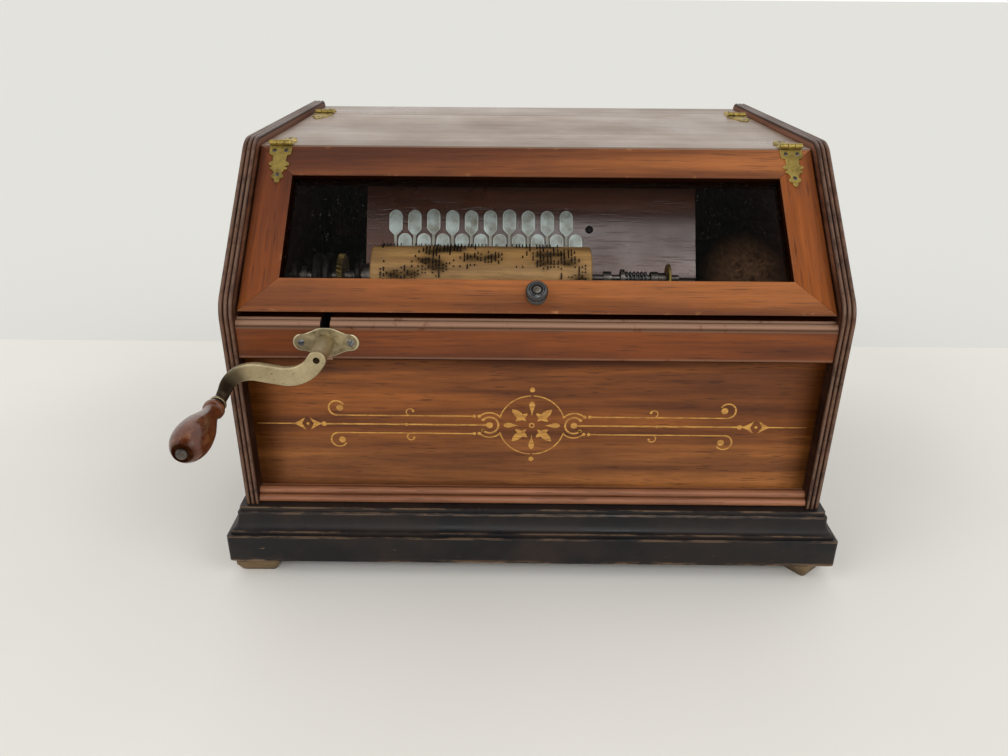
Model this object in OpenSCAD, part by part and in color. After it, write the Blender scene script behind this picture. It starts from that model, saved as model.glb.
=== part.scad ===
// Table-top roller organ: a hand-cranked reed organ that plays from a pinned wooden roller.
// A worm on the crankshaft turns the roller, whose pins rock a row of keys and open valves,
// while a throw on the same shaft works the bellows that draw air through the reeds.
// X runs to the right, Y to the back, Z up. The floor is Z = 0.

/* [Case] */
// Width across the two side boards
case_w = 432; // [420:1:470]
// Depth of the side boards, front edge to back edge
case_d = 348; // [340:1:380]
// Height of the side boards' top edge above the floor
case_h = 308; // [304:1:316]
// Height of the front corner where the slope begins
belly_z = 212.5; // [210:0.5:215]
// Depth that the slope covers before the top turns level
slope_run = 103.5; // [100:0.5:107]
// Thickness of the side boards
side_t = 10; // [8:0.5:12]
// Radius of the rounded corners of the side boards
side_corner_r = 9; // [6:0.5:12]
// How far the side boards stand above the lid and the door
reveal = 6; // [4:0.5:7]
// Thickness of the back panel
back_t = 8; // [6:0.5:10]
// Set-back of the back panel from the rear edges of the sides
back_set = 2; // [1:0.5:4]

/* [Base] */
// Height of the feet
foot_h = 12; // [8:0.5:16]
// Width of a foot where it meets the base
foot_w = 36; // [28:1:38]
// Bevel of a foot towards the floor
foot_bevel = 3; // [1:0.5:5]
// Height of the moulded base
plinth_h = 43; // [40:0.5:46]
// Height of the flat face of the moulded base
plinth_face_h = 21; // [17:0.5:23]
// How far the base stands out beyond the sides
plinth_proj = 14; // [12:0.5:16]
// How far the base mouldings reach in under the sides
plinth_in = 22; // [20:0.5:26]
// Thickness of the bottom board
bottom_t = 10; // [6:0.5:12]

/* [Front] */
// Set-back of the front panel behind the front edges of the sides
panel_set = 12; // [11:0.5:14]
// Thickness of the front panel
panel_t = 7; // [5:0.5:8]
// Set-back of the front rail
rail_set = 2.4; // [2:0.2:4]
// Depth of the front rail
rail_d = 19.6; // [18:0.2:21]
// Height of the front rail
rail_h = 31.4; // [29:0.2:33]
// Radius of the beads on the front rail
rail_bead_r = 2.3; // [1.8:0.1:2.6]
// Gap between the front rail and the door
rail_gap = 3.4; // [2.6:0.2:4.2]
// Height of the moulding at the foot of the front panel
foot_bead_h = 12; // [10:0.5:14]

/* [Lid and door] */
// Thickness of the lid and of the fixed strip behind it
lid_t = 12; // [9:0.5:14]
// Gap at each end of the lid and the door
end_gap = 1.6; // [0.8:0.2:2.4]
// Depth of the fixed strip behind the lid
strip_d = 62; // [52:1:70]
// Width of the joints between door, lid and strip
joint_gap = 0.8; // [0.6:0.1:1.2]
// Set-back of the door's lower edge
door_set = 4.6; // [4.2:0.2:5]
// Thickness of the door frame
door_t = 14; // [12:0.5:15]
// Width of the door's frame members
door_frame_w = 26; // [22:0.5:30]
// Radius of the small hollow along the inner edge of the door frame
door_edge_r = 0.8; // [0.4:0.1:1.4]
// Thickness of the glass
glass_t = 2.5; // [2:0.1:3]
// Depth of the glass in its groove
glass_seat = 5; // [4:0.5:6]
// Clearance round the glass
glass_gap = 0.2; // [0.1:0.05:0.4]
// Diameter of the door knob
knob_d = 16; // [13:0.5:18]
// Height of the door knob
knob_h = 14; // [12:0.5:16]

/* [Hinges] */
// Width of a hinge leaf
leaf_w = 16.4; // [15:0.2:18]
// Length of a hinge leaf from the pin to its tip
leaf_l = 35; // [32:0.5:36]
// Thickness of a hinge leaf
leaf_t = 1; // [0.8:0.1:1.2]
// Radius of the knuckles
knuckle_r = 2; // [1.8:0.1:2.4]
// Radius of the hinge pins
hinge_pin_r = 1; // [0.8:0.1:1.2]
// Distance of the front hinges' middle from the inside of the side boards
front_hinge_in = 17; // [14:0.5:34]
// Distance of the rear hinges' middle from the inside of the side boards
rear_hinge_in = 12; // [11:0.5:34]

/* [Crank] */
// Distance of the crankshaft from the inside of the left side board
crank_in = 61.5; // [60:0.5:63]
// Height of the crankshaft above the floor
crank_z = 187; // [185.5:0.5:188.5]
// Radius of the crankshaft
shaft_r = 3; // [2.6:0.1:3.1]
// Radius of the socket that holds the shaft
socket_r = 5; // [4.6:0.1:6]
// Length of the socket between the case and the arm
socket_l = 26; // [22:0.5:30]
// Width of the flat crank arm at its eye
arm_w = 12.6; // [11:0.2:13]
// Thickness of the crank arm
arm_t = 4.5; // [3.5:0.5:5.5]
// Radius of the arm's first bend
arm_r1 = 23.2; // [21:0.2:25]
// Radius of the arm's second bend
arm_r2 = 22; // [20:0.5:24]
// Length of the straight part between the arm's bends
arm_straight = 15; // [12:0.5:18]
// Length of the wooden handle
handle_l = 59; // [54:1:70]
// Largest radius of the handle
handle_r = 12; // [10:0.2:13]
// Radius of the spindle inside the handle
spindle_r = 3; // [2.5:0.1:3.4]

/* [Drive] */
// Depth of the roller's axis behind the front edges of the sides
drive_y = 75; // [73:0.5:78]
// Radius of the drive arbor
arbor_r = 4; // [3.4:0.1:4.4]
// Teeth on the worm wheel
wheel_teeth = 30; // [28:1:30]
// Module of the worm gearing
gear_module = 1.05; // [1.02:0.01:1.06]
// Pitch radius of the worm
worm_r = 8.25; // [8.1:0.05:8.4]
// Width of the worm wheel
wheel_w = 5.4; // [4.6:0.2:6]
// Radius of the shifting cam
cam_r = 17; // [14:0.5:18]
// Width of the shifting cam
cam_w = 12.5; // [10:0.5:13]
// Thickness of the bearing brackets
bracket_t = 4; // [3:0.2:4.4]
// Half width of the bearing brackets and radius of their round tops
bracket_r = 11; // [9:0.5:12]

/* [Roller] */
// Diameter of the wooden roller
roller_d = 46; // [44:0.5:46.5]
// Length of the wooden roller
roller_len = 163; // [158:1:166]
// Distance from the crankshaft to the roller's left end
roller_off = 23.5; // [22.5:0.5:24.5]
// Height of the pins above the wood
pin_h = 1.8; // [1.2:0.1:2]
// Radius of a pin
pin_r = 0.5; // [0.4:0.05:0.6]
// Pins driven in for each key
pins_per_key = 9; // [6:1:10]
// Radius of the sliding tail arbor
tail_r = 2.6; // [2.2:0.1:3]
// Travel of the tail arbor when the roller is released
tail_travel = 10; // [8.5:0.5:11]
// Turns of the tail spring
spring_turns = 6; // [4:1:7]
// Wire radius of the tail spring
spring_wire_r = 0.6; // [0.4:0.05:0.7]
// Mean radius of the tail spring
spring_r = 4.6; // [4.2:0.1:5]

/* [Keys and reeds] */
// Spacing of the keys
key_pitch = 7.62; // [7.5:0.02:7.8]
// Width of a key's stem
stem_w = 3.4; // [2.8:0.1:3.5]
// Width of a valve paddle
paddle_w = 11; // [9.5:0.1:11]
// Length of a valve paddle
paddle_l = 20.4; // [17:0.2:20.4]
// Thickness of a key
key_t = 1.2; // [1:0.1:1.5]
// Distance along the valve board from the pivots to the upper paddles' middle
upper_row = 41; // [40.8:0.2:42.4]
// Distance along the valve board from the pivots to the lower paddles' middle
lower_row = 21.9; // [20.9:0.2:22.1]
// Opening angle of a key
key_open = 6; // [4:0.5:6]
// Radius of the key pivot wire
wire_r = 1; // [0.8:0.05:1.1]
// Lean of the valve board from upright
board_lean = 29; // [27:0.5:31]
// Distance from the roller's axis to the face of the valve board
board_gap = 37.8; // [37:0.2:39]
// Thickness of the valve board
board_t = 12; // [10:0.5:13]
// Width of the valve board
board_w = 265; // [255:1:270]
// Radius of the valve holes
valve_r = 3; // [2:0.1:3.4]
// Depth of the reed block behind the valve board
reed_block_t = 28; // [24:1:32]

/* [Bellows] */
// Thickness of the deck that carries the works
deck_t = 10; // [8:0.5:12]
// Height of the deck's top above the floor
deck_z = 170; // [168:0.5:171]
// Throw of the crankshaft
throw_r = 10; // [8:0.5:11]
// Length of the connecting rod between its eyes
rod_l = 75; // [68:1:80]
// Thickness of the feeder and reservoir boards
bellows_board_t = 8; // [6:0.5:10]
// Width of the feeder board, front to back
feeder_w = 250; // [220:1:252]
// Width of the reservoir board, left to right
reservoir_w = 225; // [200:1:230]
// Length of the reservoir board, front to back
reservoir_l = 108; // [98:1:112]
// Angle of the reservoir board when full
reservoir_open = 20; // [16:0.5:22]

/* [Hidden] */
$fn = 64;
key_count = 20;
// Radial clearance of a shaft that turns in its bearing, and clearance of bodies that pass
run_gap = 0.05;
body_gap = 0.3;
// Hairline that keeps pieces that meet at a mitre or a butt joint apart
seam = 0.1;
big = 1000;

function key_name(i) = str("key_", i < 10 ? "0" : "", i);

// Case outline
inner_x = case_w / 2 - side_t;
base_top = foot_h + plinth_h;
slope = atan2(case_h - belly_z, slope_run);
lid_z = case_h - reveal;
// Front corner of the lid, and the foot of the door's sloping face
corner_y = ((lid_z - belly_z) * cos(slope) + reveal) / sin(slope);
door_z = belly_z - reveal / cos(slope) + door_set * tan(slope);
door_l = (corner_y - door_set) / cos(slope);
door_half_w = inner_x - end_gap;
lid_back = case_d - back_set - strip_d;
rail_top = door_z - rail_gap;
rail_back = rail_set + rail_d;
back_face = case_d - back_set - back_t;

// Gearing and roller
wheel_r = wheel_teeth * gear_module / 2;
lead = PI * gear_module;
addendum = 0.98 * gear_module;
dedendum = 1.2 * gear_module;
crank_x = -inner_x + crank_in;
roller_x = crank_x + roller_off;
drive_z = crank_z + wheel_r + worm_r;
roller_r = roller_d / 2;
roller_end = roller_x + roller_len;

// Crank arm: two bends joined by a straight part, and a turn towards the front
arm_y = rail_set - leaf_t - body_gap - socket_l - arm_t;
arm_mid_y = arm_y + arm_t / 2;
arm_c1 = [-20.5, arm_r1 - 12.3];
arm_joint = -100;
arm_c2 = arm_c1 + (arm_r1 + arm_r2) * [cos(arm_joint), sin(arm_joint)]
    + arm_straight * [sin(arm_joint), -cos(arm_joint)];
arm_last = 155;
arm_end = arm_c2 + arm_r2 * [cos(arm_last), sin(arm_last)];
arm_dir = [cos(arm_last + 90), sin(arm_last + 90)];
bend_r = 8;
rod_end_r = 3.5;
handle_at = arm_end + bend_r * arm_dir;
handle_x = crank_x + handle_at[0];
handle_z = crank_z + handle_at[1];
collar_l = 6;
collar_y = arm_mid_y - bend_r;
handle_y = collar_y - collar_l - body_gap;
rivet_l = 2;
front_reach = handle_y - handle_l - body_gap - rivet_l;

// The origin lies under the middle of the whole object, crank handle included
y_shift = -(front_reach + case_d) / 2;

// Valve board frame: its face is board_gap from the roller's axis
board_y = drive_y + board_gap * cos(board_lean);
board_z = drive_z - board_gap * sin(board_lean);
board_x = roller_x + roller_len / 2 + 38;
board_clear = 9.9;
board_top_s = (lid_z - lid_t - board_clear - board_z) / cos(board_lean);
board_rebate = 4;
pivot_s = 10;
pivot_h = body_gap + key_t + wire_r;
hub_r = pivot_h - body_gap;
key_mid_x = roller_x + roller_len / 2 + 1.5;
tooth_h = board_gap - roller_r - pin_h - body_gap - 0.1;
tooth_s = 1.5;
tail_s = -6;
function key_x(i) = key_mid_x + (i - (key_count + 1) / 2) * key_pitch;
function key_row(i) = i % 2 == 1 ? upper_row : lower_row;

// Bellows works
throw_y = 160;
web_t = 4;
rod_t = 8;
pin_gap = 2;
throw_half = rod_t / 2 + pin_gap + web_t;
well_half = throw_half + 15;
well_x = crank_x + throw_r + 16.5;
rear_bearing_y = throw_y + well_half + 6;
rod_low_z = crank_z - throw_r - rod_l;
feeder_side_gap = 41;
feeder_hinge_x = inner_x - feeder_side_gap;
feeder_hinge_z = deck_z - deck_t - bellows_board_t / 2 - 6;
feeder_slope = atan2(feeder_hinge_z - rod_low_z, feeder_hinge_x - crank_x);
feeder_left = crank_x + throw_r + 9;
feeder_back_gap = 28;
feeder_mid_y = back_face - feeder_back_gap - feeder_w / 2;
reservoir_hinge_y = back_face - 13;
reservoir_hinge_z = deck_z + bellows_board_t;
reservoir_x = 12;

// Hinge axes
hinge_lift = knuckle_r + 0.2;
front_hinge_x = inner_x - front_hinge_in;
rear_hinge_x = inner_x - rear_hinge_in;
rear_axis = [lid_back + joint_gap / 2, lid_z + hinge_lift];
front_axis = [corner_y - hinge_lift * tan(slope / 2), lid_z + hinge_lift];

echo(JOINT_POINTS = [
    ["rear_axis", 0, rear_axis[0] + y_shift, rear_axis[1]],
    ["front_axis", 0, front_axis[0] + y_shift, front_axis[1]],
    ["crank", crank_x, y_shift, crank_z],
    ["handle", handle_x, handle_y + y_shift, handle_z],
    ["drive", roller_x, drive_y + y_shift, drive_z],
    ["rod", crank_x, throw_y + y_shift, crank_z - throw_r],
    ["feeder", feeder_hinge_x, y_shift, feeder_hinge_z],
    ["reservoir", 0, reservoir_hinge_y + y_shift, reservoir_hinge_z],
    ["key_pivot", key_x(1), board_point(pivot_s, pivot_h)[0] + y_shift, board_point(pivot_s, pivot_h)[1]],
    ["foot", foot_x, foot_front + y_shift, foot_back + y_shift]]);

// A point of the valve board frame as [y, z]
function board_point(s, h) = [
    board_y + s * sin(board_lean) - h * cos(board_lean),
    board_z + s * cos(board_lean) + h * sin(board_lean)];

foot_x = case_w / 2 + plinth_proj - foot_w / 2 - 1.5;
foot_front = -plinth_proj + foot_w / 2 + 1.5;
foot_back = case_d - foot_w / 2 - 1.5;

// Everything is drawn in case coordinates and set over the origin here
module placed() {
    translate([0, y_shift, 0]) children();
}

// Extrude a [y, z] outline along X from x0 to x1
module along_x(x0, x1) {
    translate([x0, 0, 0]) rotate([90, 0, 90]) linear_extrude(x1 - x0) children();
}

// Extrude an [x, z] outline along Y from y0 to y1
module along_y(y0, y1) {
    translate([0, y1, 0]) rotate([90, 0, 0]) linear_extrude(y1 - y0) children();
}

// A cylinder along X or along Y
module rod_x(x0, x1, r) {
    translate([x0, 0, 0]) rotate([0, 90, 0]) cylinder(h = x1 - x0, r = r);
}

module rod_y(y0, y1, r) {
    translate([0, y1, 0]) rotate([90, 0, 0]) cylinder(h = y1 - y0, r = r);
}

// The door's frame: X across, Y up the slope from its lower edge, Z out of its face
module on_door() {
    translate([0, door_set, door_z]) rotate([slope, 0, 0]) children();
}

// The valve board's frame: X across, Y up the board, Z out of its face
module on_board() {
    translate([0, board_y, board_z]) rotate([90 - board_lean, 0, 0]) children();
}

// Side boards: the outline is stepped across the thickness, so that the edge runs out in three beads
bead_r = side_t / 6;
corner_steps = 5;
side_points = [
    [side_corner_r, belly_z - side_corner_r * (1 - sin(slope)) / cos(slope)],
    [((case_h - side_corner_r - belly_z) * cos(slope) + side_corner_r) / sin(slope), case_h - side_corner_r],
    [case_d - side_corner_r, case_h - side_corner_r]];
side_turns = [[180, 90 + slope], [90 + slope, 90], [90, 0]];
bead_angles = [-90, -45, 0, 45];
bead_steps = concat(
    [for (j = [-1:1], a = bead_angles) [2 * j * bead_r + bead_r * sin(a), bead_r * (1 - cos(a))]],
    [[side_t / 2, bead_r]]);
function side_ring(x, inset) = let (r = side_corner_r - inset) concat(
    [[x, inset, base_top]],
    [for (c = [0:2], k = [0:corner_steps])
        let (a = side_turns[c][0] + (side_turns[c][1] - side_turns[c][0]) * k / corner_steps)
        [x, side_points[c][0] + r * cos(a), side_points[c][1] + r * sin(a)]],
    [[x, case_d - inset, base_top]]);

module side_board() {
    m = 3 * (corner_steps + 1) + 2;
    n = len(bead_steps);
    points = [for (b = bead_steps) each side_ring(b[0], b[1])];
    walls = [for (i = [0:n - 2], k = [0:m - 1]) let (k1 = (k + 1) % m, o = i * m)
        each [[o + k, o + m + k1, o + k1], [o + k, o + m + k, o + m + k1]]];
    caps = [[for (k = [0:m - 1]) k], [for (k = [m - 1:-1:0]) (n - 1) * m + k]];
    polyhedron(points, concat(walls, caps));
}

module side_left() {
    color("saddlebrown") placed() translate([-case_w / 2 + side_t / 2, 0, 0]) side_board();
}

module side_right() {
    color("saddlebrown") placed() translate([case_w / 2 - side_t / 2, 0, 0]) side_board();
}

// Base moulding section: X is outwards from the side's face, Y is height
plinth_step = 3.5;
plinth_fillet = 2.5;
plinth_neck = 1.5;
plinth_ease = 1.5;
arris_z = foot_h + plinth_face_h;
cove_r = plinth_proj - plinth_step - plinth_neck + 3;
cove_top = arris_z + plinth_fillet + cove_r;
cap_r = (base_top - cove_top) / 2;

module plinth_section() {
    difference() {
        union() {
            polygon([
                [-plinth_in, foot_h], [plinth_proj - plinth_ease, foot_h],
                [plinth_proj, foot_h + plinth_ease], [plinth_proj, arris_z - plinth_ease],
                [plinth_proj - plinth_ease, arris_z], [plinth_proj - plinth_step, arris_z],
                [plinth_proj - plinth_step, cove_top], [plinth_neck, cove_top],
                [plinth_neck, base_top], [-plinth_in, base_top]]);
            translate([plinth_neck, base_top - cap_r]) circle(r = cap_r, $fn = 32);
        }
        translate([plinth_neck + cove_r, cove_top]) circle(r = cove_r);
    }
}

module plinth_front() {
    intersection() {
        rotate([90, 0, -90]) translate([0, 0, -case_w / 2 - plinth_proj])
            linear_extrude(case_w + 2 * plinth_proj) plinth_section();
        mitre_out = case_w / 2 + plinth_proj - seam;
        mitre_in = case_w / 2 - plinth_in - seam;
        translate([0, 0, foot_h - 1]) linear_extrude(plinth_h + 2)
            polygon([[-mitre_out, -plinth_proj], [mitre_out, -plinth_proj], [mitre_in, plinth_in],
                     [-mitre_in, plinth_in]]);
    }
}

module plinth_end() {
    intersection() {
        translate([case_w / 2, case_d, 0]) rotate([90, 0, 0])
            linear_extrude(case_d + plinth_proj) plinth_section();
        translate([0, 0, foot_h - 1]) linear_extrude(plinth_h + 2)
            polygon([[case_w / 2 + plinth_proj, -plinth_proj], [case_w / 2 + plinth_proj, case_d],
                     [case_w / 2 - plinth_in, case_d], [case_w / 2 - plinth_in, plinth_in]]);
    }
}

module plinth_mouldings() {
    color("#17130f") placed() {
        plinth_front();
        plinth_end();
        mirror([1, 0, 0]) plinth_end();
        translate([-case_w / 2 + plinth_in + seam, case_d - plinth_in, foot_h])
            cube([case_w - 2 * (plinth_in + seam), plinth_in, plinth_h]);
    }
}

module base_board() {
    color("peru") placed() translate([-case_w / 2 + plinth_in, plinth_in, foot_h + 6])
        cube([case_w - 2 * plinth_in, case_d - 2 * plinth_in, bottom_t]);
}

module foot_outline() {
    low = foot_w / 2 - foot_bevel;
    polygon([[-low, 0], [low, 0], [foot_w / 2, foot_h / 2], [foot_w / 2, foot_h], [-foot_w / 2, foot_h],
             [-foot_w / 2, foot_h / 2]]);
}

module feet() {
    color("#1d1712") placed()
        for (x = [-foot_x, foot_x], y = [foot_front, foot_back]) translate([x, y, 0]) intersection() {
            along_x(-foot_w / 2, foot_w / 2) foot_outline();
            along_y(-foot_w / 2, foot_w / 2) foot_outline();
        }
}

module front_panel() {
    color("#6b4426") placed() translate([-inner_x, panel_set, base_top])
        cube([2 * inner_x, panel_t, rail_top - rail_h - base_top]);
}

module foot_bead_section() {
    r = foot_bead_h / 4;
    translate([panel_set - r, base_top]) square([r, foot_bead_h - r]);
    translate([panel_set - 2.4 * r, base_top]) square([1.5 * r, foot_bead_h / 2]);
    translate([panel_set - 2.4 * r, base_top + r]) circle(r = r, $fn = 32);
    translate([panel_set - 1.2 * r, base_top + foot_bead_h - 1.4 * r]) circle(r = r, $fn = 32);
}

module lower_moulding() {
    color("#4b2d18") placed() along_x(-inner_x, inner_x) intersection() {
        foot_bead_section();
        translate([0, base_top]) square([panel_set, foot_bead_h]);
    }
}

// Front rail with a beaded top and the slot that the crankshaft drops into
module rail_section() {
    z0 = rail_top - rail_h;
    beads_h = 8.5;
    block_in = 11;
    face_h = rail_h - beads_h;
    translate([rail_set, z0]) square([rail_d, face_h]);
    translate([rail_set + block_in, z0]) square([rail_d - block_in, rail_h]);
    for (i = [0:2])
        translate([rail_set + rail_bead_r + i * 4, z0 + face_h + i * 2.6]) circle(r = rail_bead_r, $fn = 32);
    polygon([[rail_set + rail_bead_r, z0 + face_h - 1], [rail_set + 12, z0 + face_h - 1],
             [rail_set + 12, z0 + face_h + 5.2], [rail_set + rail_bead_r + 8, z0 + face_h + 5.2]]);
}

module front_rail() {
    slot_r = shaft_r + 0.4;
    color("#5a2f1a") placed() difference() {
        along_x(-inner_x, inner_x) rail_section();
        translate([crank_x, 0, crank_z]) rod_y(-1, rail_back + 1, slot_r);
        translate([crank_x - slot_r, -1, crank_z]) cube([2 * slot_r, rail_back + 2, rail_h]);
    }
}

module back_panel() {
    color("#5c3a22") placed() translate([-inner_x, back_face, base_top])
        cube([2 * inner_x, back_t, lid_z - lid_t - base_top]);
}

module top_strip() {
    y0 = lid_back + joint_gap;
    color("#6a4a35") placed() translate([-inner_x, y0, lid_z - lid_t])
        cube([2 * inner_x, case_d - back_set - y0, lid_t]);
}

// The deck is boarded round a well for the connecting rod
module deck_board() {
    color("#3a2618") placed() translate([0, 0, deck_z - deck_t]) {
        translate([well_x, rail_back, 0]) cube([inner_x - well_x, back_face - rail_back, deck_t]);
        translate([-inner_x, rail_back, 0])
            cube([well_x + inner_x - seam, throw_y - well_half - rail_back, deck_t]);
        translate([-inner_x, throw_y + well_half, 0])
            cube([well_x + inner_x - seam, back_face - throw_y - well_half, deck_t]);
    }
}

// Lens-shaped plate that carries the front of the crankshaft
esc_half_l = 22.5;
esc_half_h = 10;
esc_screw_x = 17;
module escutcheon() {
    lens_r = (esc_half_l * esc_half_l + esc_half_h * esc_half_h) / (2 * esc_half_h);
    color("#b59a5c") placed() translate([crank_x, 0, crank_z]) along_y(rail_set - leaf_t, rail_set) difference() {
        union() {
            intersection() {
                translate([0, lens_r - esc_half_h]) circle(r = lens_r, $fn = 128);
                translate([0, esc_half_h - lens_r]) circle(r = lens_r, $fn = 128);
                square([2 * esc_half_l - 3, 3 * esc_half_h], center = true);
            }
            circle(r = esc_half_h);
        }
        circle(r = shaft_r + run_gap);
        for (x = [-esc_screw_x, esc_screw_x]) translate([x, 0]) circle(r = 1.3, $fn = 24);
    }
}

// Upright bearing plate with a round top, its foot on the deck, as a [y, z] outline
module bracket_outline(axis_y, axis_z, bore_r) {
    difference() {
        union() {
            translate([axis_y - bracket_r, deck_z]) square([2 * bracket_r, axis_z - deck_z]);
            translate([axis_y, axis_z]) circle(r = bracket_r);
        }
        translate([axis_y, axis_z]) circle(r = bore_r);
    }
}

cam_x = crank_x - 14;
left_bracket_x = cam_x - cam_w / 2 - 16;
chuck_bracket_x = crank_x + worm_r + addendum + 1.1 + bracket_t / 2;
tail_reach = 57;
boss_l = 11.5;
tail_bracket_x = roller_end + tail_reach;
boss_x = tail_bracket_x - boss_l;
boss_r = 5;
module bearing_brackets() {
    color("goldenrod") placed() {
        for (x = [left_bracket_x, chuck_bracket_x - bracket_t / 2])
            along_x(x, x + bracket_t) bracket_outline(drive_y, drive_z, arbor_r + run_gap);
        along_x(tail_bracket_x, tail_bracket_x + bracket_t) bracket_outline(drive_y, drive_z, tail_r + run_gap);
        translate([0, drive_y, drive_z]) difference() {
            rod_x(boss_x, tail_bracket_x, boss_r);
            rod_x(boss_x - 1, tail_bracket_x + 1, tail_r + run_gap);
        }
        translate([crank_x, 0, 0]) along_y(rear_bearing_y, rear_bearing_y + bracket_t)
            bracket_outline(0, crank_z, shaft_r + run_gap);
    }
}

// Leaning board with the valve holes, rebated below the pivots for the key tails
module pallet_board() {
    color("#7a3b1e") placed() difference() {
        on_board() difference() {
            translate([board_x - board_w / 2, -60, -board_t]) cube([board_w, 60 + board_top_s, board_t]);
            translate([board_x - board_w / 2 - 1, -61, -board_rebate])
                cube([board_w + 2, 61 + pivot_s - hub_r, board_rebate + 1]);
            for (i = [1:key_count]) translate([key_x(i), pivot_s + key_row(i), -board_t - 1])
                cylinder(h = board_t + 2, r = valve_r, $fn = 32);
        }
        translate([-big / 2, -big / 2, deck_z - big]) cube(big);
    }
}

cell_w = 5;
cell_low = pivot_s + 8;
cell_l = 58;
cell_high = cell_low + cell_l;
cell_d = reed_block_t - 8;
module reed_block() {
    margin = 8;
    head = 4;
    color("tan") placed() on_board() difference() {
        translate([key_x(1) - margin, cell_low - margin, -board_t - reed_block_t])
            cube([key_x(key_count) - key_x(1) + 2 * margin, cell_l + margin + head, reed_block_t]);
        for (i = [1:key_count]) translate([key_x(i) - cell_w / 2, cell_low, -board_t - cell_d])
            cube([cell_w, cell_l, cell_d + 1]);
    }
}

// Brass reeds on the floor of their cells: a frame with a tongue over its slot
module reed() {
    w = cell_w - 0.4;
    l = cell_high - cell_low - 6;
    slot_w = 2.2;
    difference() {
        translate([-w / 2, 0, 0]) cube([w, l, 1.2]);
        translate([-slot_w / 2, 8, -1]) cube([slot_w, l - 14, 4]);
    }
    translate([-slot_w / 2 + 0.3, 3, 1.1]) cube([slot_w - 0.6, l - 11, 0.5]);
}

module reeds() {
    color("gold") placed() on_board()
        for (i = [1:key_count]) translate([key_x(i), cell_low + 3, -board_t - cell_d]) reed();
}

// Lugs between the keys and the wire on which all the keys rock
module key_pivots() {
    lug_t = 2;
    lug_every = 4;
    lug_low = 3;
    color("darkgoldenrod") placed() on_board() {
        for (i = [0:lug_every:key_count]) translate([key_x(i + 0.5) - lug_t / 2, 0, 0])
            along_x(0, lug_t) difference() {
                union() {
                    translate([pivot_s - lug_low, 0]) square([2 * lug_low, pivot_h]);
                    translate([pivot_s, pivot_h]) circle(r = lug_low, $fn = 32);
                }
                translate([pivot_s, pivot_h]) circle(r = wire_r + run_gap, $fn = 32);
                translate([pivot_s - 2 * lug_low, -2 * lug_low]) square([4 * lug_low, 2 * lug_low]);
            }
        translate([0, pivot_s, pivot_h]) rod_x(key_x(0.5) - lug_t, key_x(key_count + 0.5) + lug_t, wire_r);
    }
}

// One key: a paddle over its valve hole, a stem, a hub on the wire and a tooth that meets the pins
module key(i) {
    row = pivot_s + key_row(i);
    paddle_low = row - paddle_l / 2;
    color("slategray") placed() on_board() translate([key_x(i), 0, 0]) {
        difference() {
            along_x(-stem_w / 2, stem_w / 2) union() {
                translate([tail_s, body_gap]) square([paddle_low + 1 - tail_s, key_t]);
                translate([pivot_s, pivot_h]) circle(r = hub_r, $fn = 32);
            }
            translate([0, pivot_s, pivot_h]) rod_x(-stem_w, stem_w, wire_r + run_gap);
        }
        translate([-stem_w / 4, tail_s, body_gap]) cube([stem_w / 2, tooth_s * 2, tooth_h - body_gap]);
        translate([0, 0, body_gap]) linear_extrude(key_t) paddle_outline(row);
    }
}

module paddle_outline(row) {
    r = paddle_w / 2 - 1;
    translate([-paddle_w / 2 + r, row - paddle_l / 2]) square([paddle_w - 2 * r, paddle_l]);
    translate([-paddle_w / 2, row - paddle_l / 2 + r]) square([paddle_w, paddle_l - 2 * r]);
    for (x = [-1, 1], y = [-1, 1])
        translate([x * (paddle_w / 2 - r), row + y * (paddle_l / 2 - r)]) circle(r = r, $fn = 24);
}

// Hinge leaf in its own frame: pin along X, leaf along +Y, its board hinge_lift below the pin.
// A leaf has either the two outer knuckles or the middle one.
knuckle_gap = 0.3;
mid_knuckle = leaf_w / 6;
leaf_screw_y = 6.2;
leaf_tip_y = leaf_l - 7.5;
// Half width of the scalloped leaf along it, both as shares of the leaf's own size
leaf_scallops = [[0, 1], [0.2, 1], [0.25, 0.9], [0.32, 0.77], [0.4, 0.8], [0.485, 0.86], [0.53, 0.76],
    [0.585, 0.66], [0.64, 0.5], [0.69, 0.42], [0.72, 0.5], [0.75, 0.52], [0.79, 0.47], [0.84, 0.3],
    [0.92, 0.12], [1, 0.02]];
module leaf_outline() {
    n = len(leaf_scallops) - 1;
    edge = [for (p = leaf_scallops) [leaf_w / 2 * p[1], leaf_l * p[0]]];
    difference() {
        polygon(concat(edge, [for (i = [n:-1:0]) [-edge[i][0], edge[i][1]]]));
        for (x = [-1, 1]) translate([x * 4.3, leaf_screw_y]) circle(r = 1.2, $fn = 24);
        translate([0, leaf_tip_y]) circle(r = 1.2, $fn = 24);
    }
}

module hinge_leaf(outer) {
    own = outer ? [[-leaf_w / 2, -mid_knuckle], [mid_knuckle, leaf_w / 2]]
                : [[-mid_knuckle + knuckle_gap, mid_knuckle - knuckle_gap]];
    others = outer ? [[-mid_knuckle, mid_knuckle]]
                   : [[-leaf_w, -mid_knuckle + knuckle_gap], [mid_knuckle - knuckle_gap, leaf_w]];
    difference() {
        union() {
            translate([0, 0, -hinge_lift]) linear_extrude(leaf_t) leaf_outline();
            for (k = own) rod_x(k[0], k[1], knuckle_r);
        }
        for (k = own) rod_x(k[0] - 0.1, k[1] + 0.1, hinge_pin_r + run_gap);
        for (k = others) translate([k[0], -1, -hinge_lift - 1])
            cube([k[1] - k[0], knuckle_r + 1 + body_gap, leaf_t + 2]);
    }
}

module hinge_pin() {
    rod_x(-leaf_w / 2, leaf_w / 2, hinge_pin_r);
}

module at_rear_hinges() {
    for (x = [-rear_hinge_x, rear_hinge_x]) translate([x, rear_axis[0], rear_axis[1]]) children();
}

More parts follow.
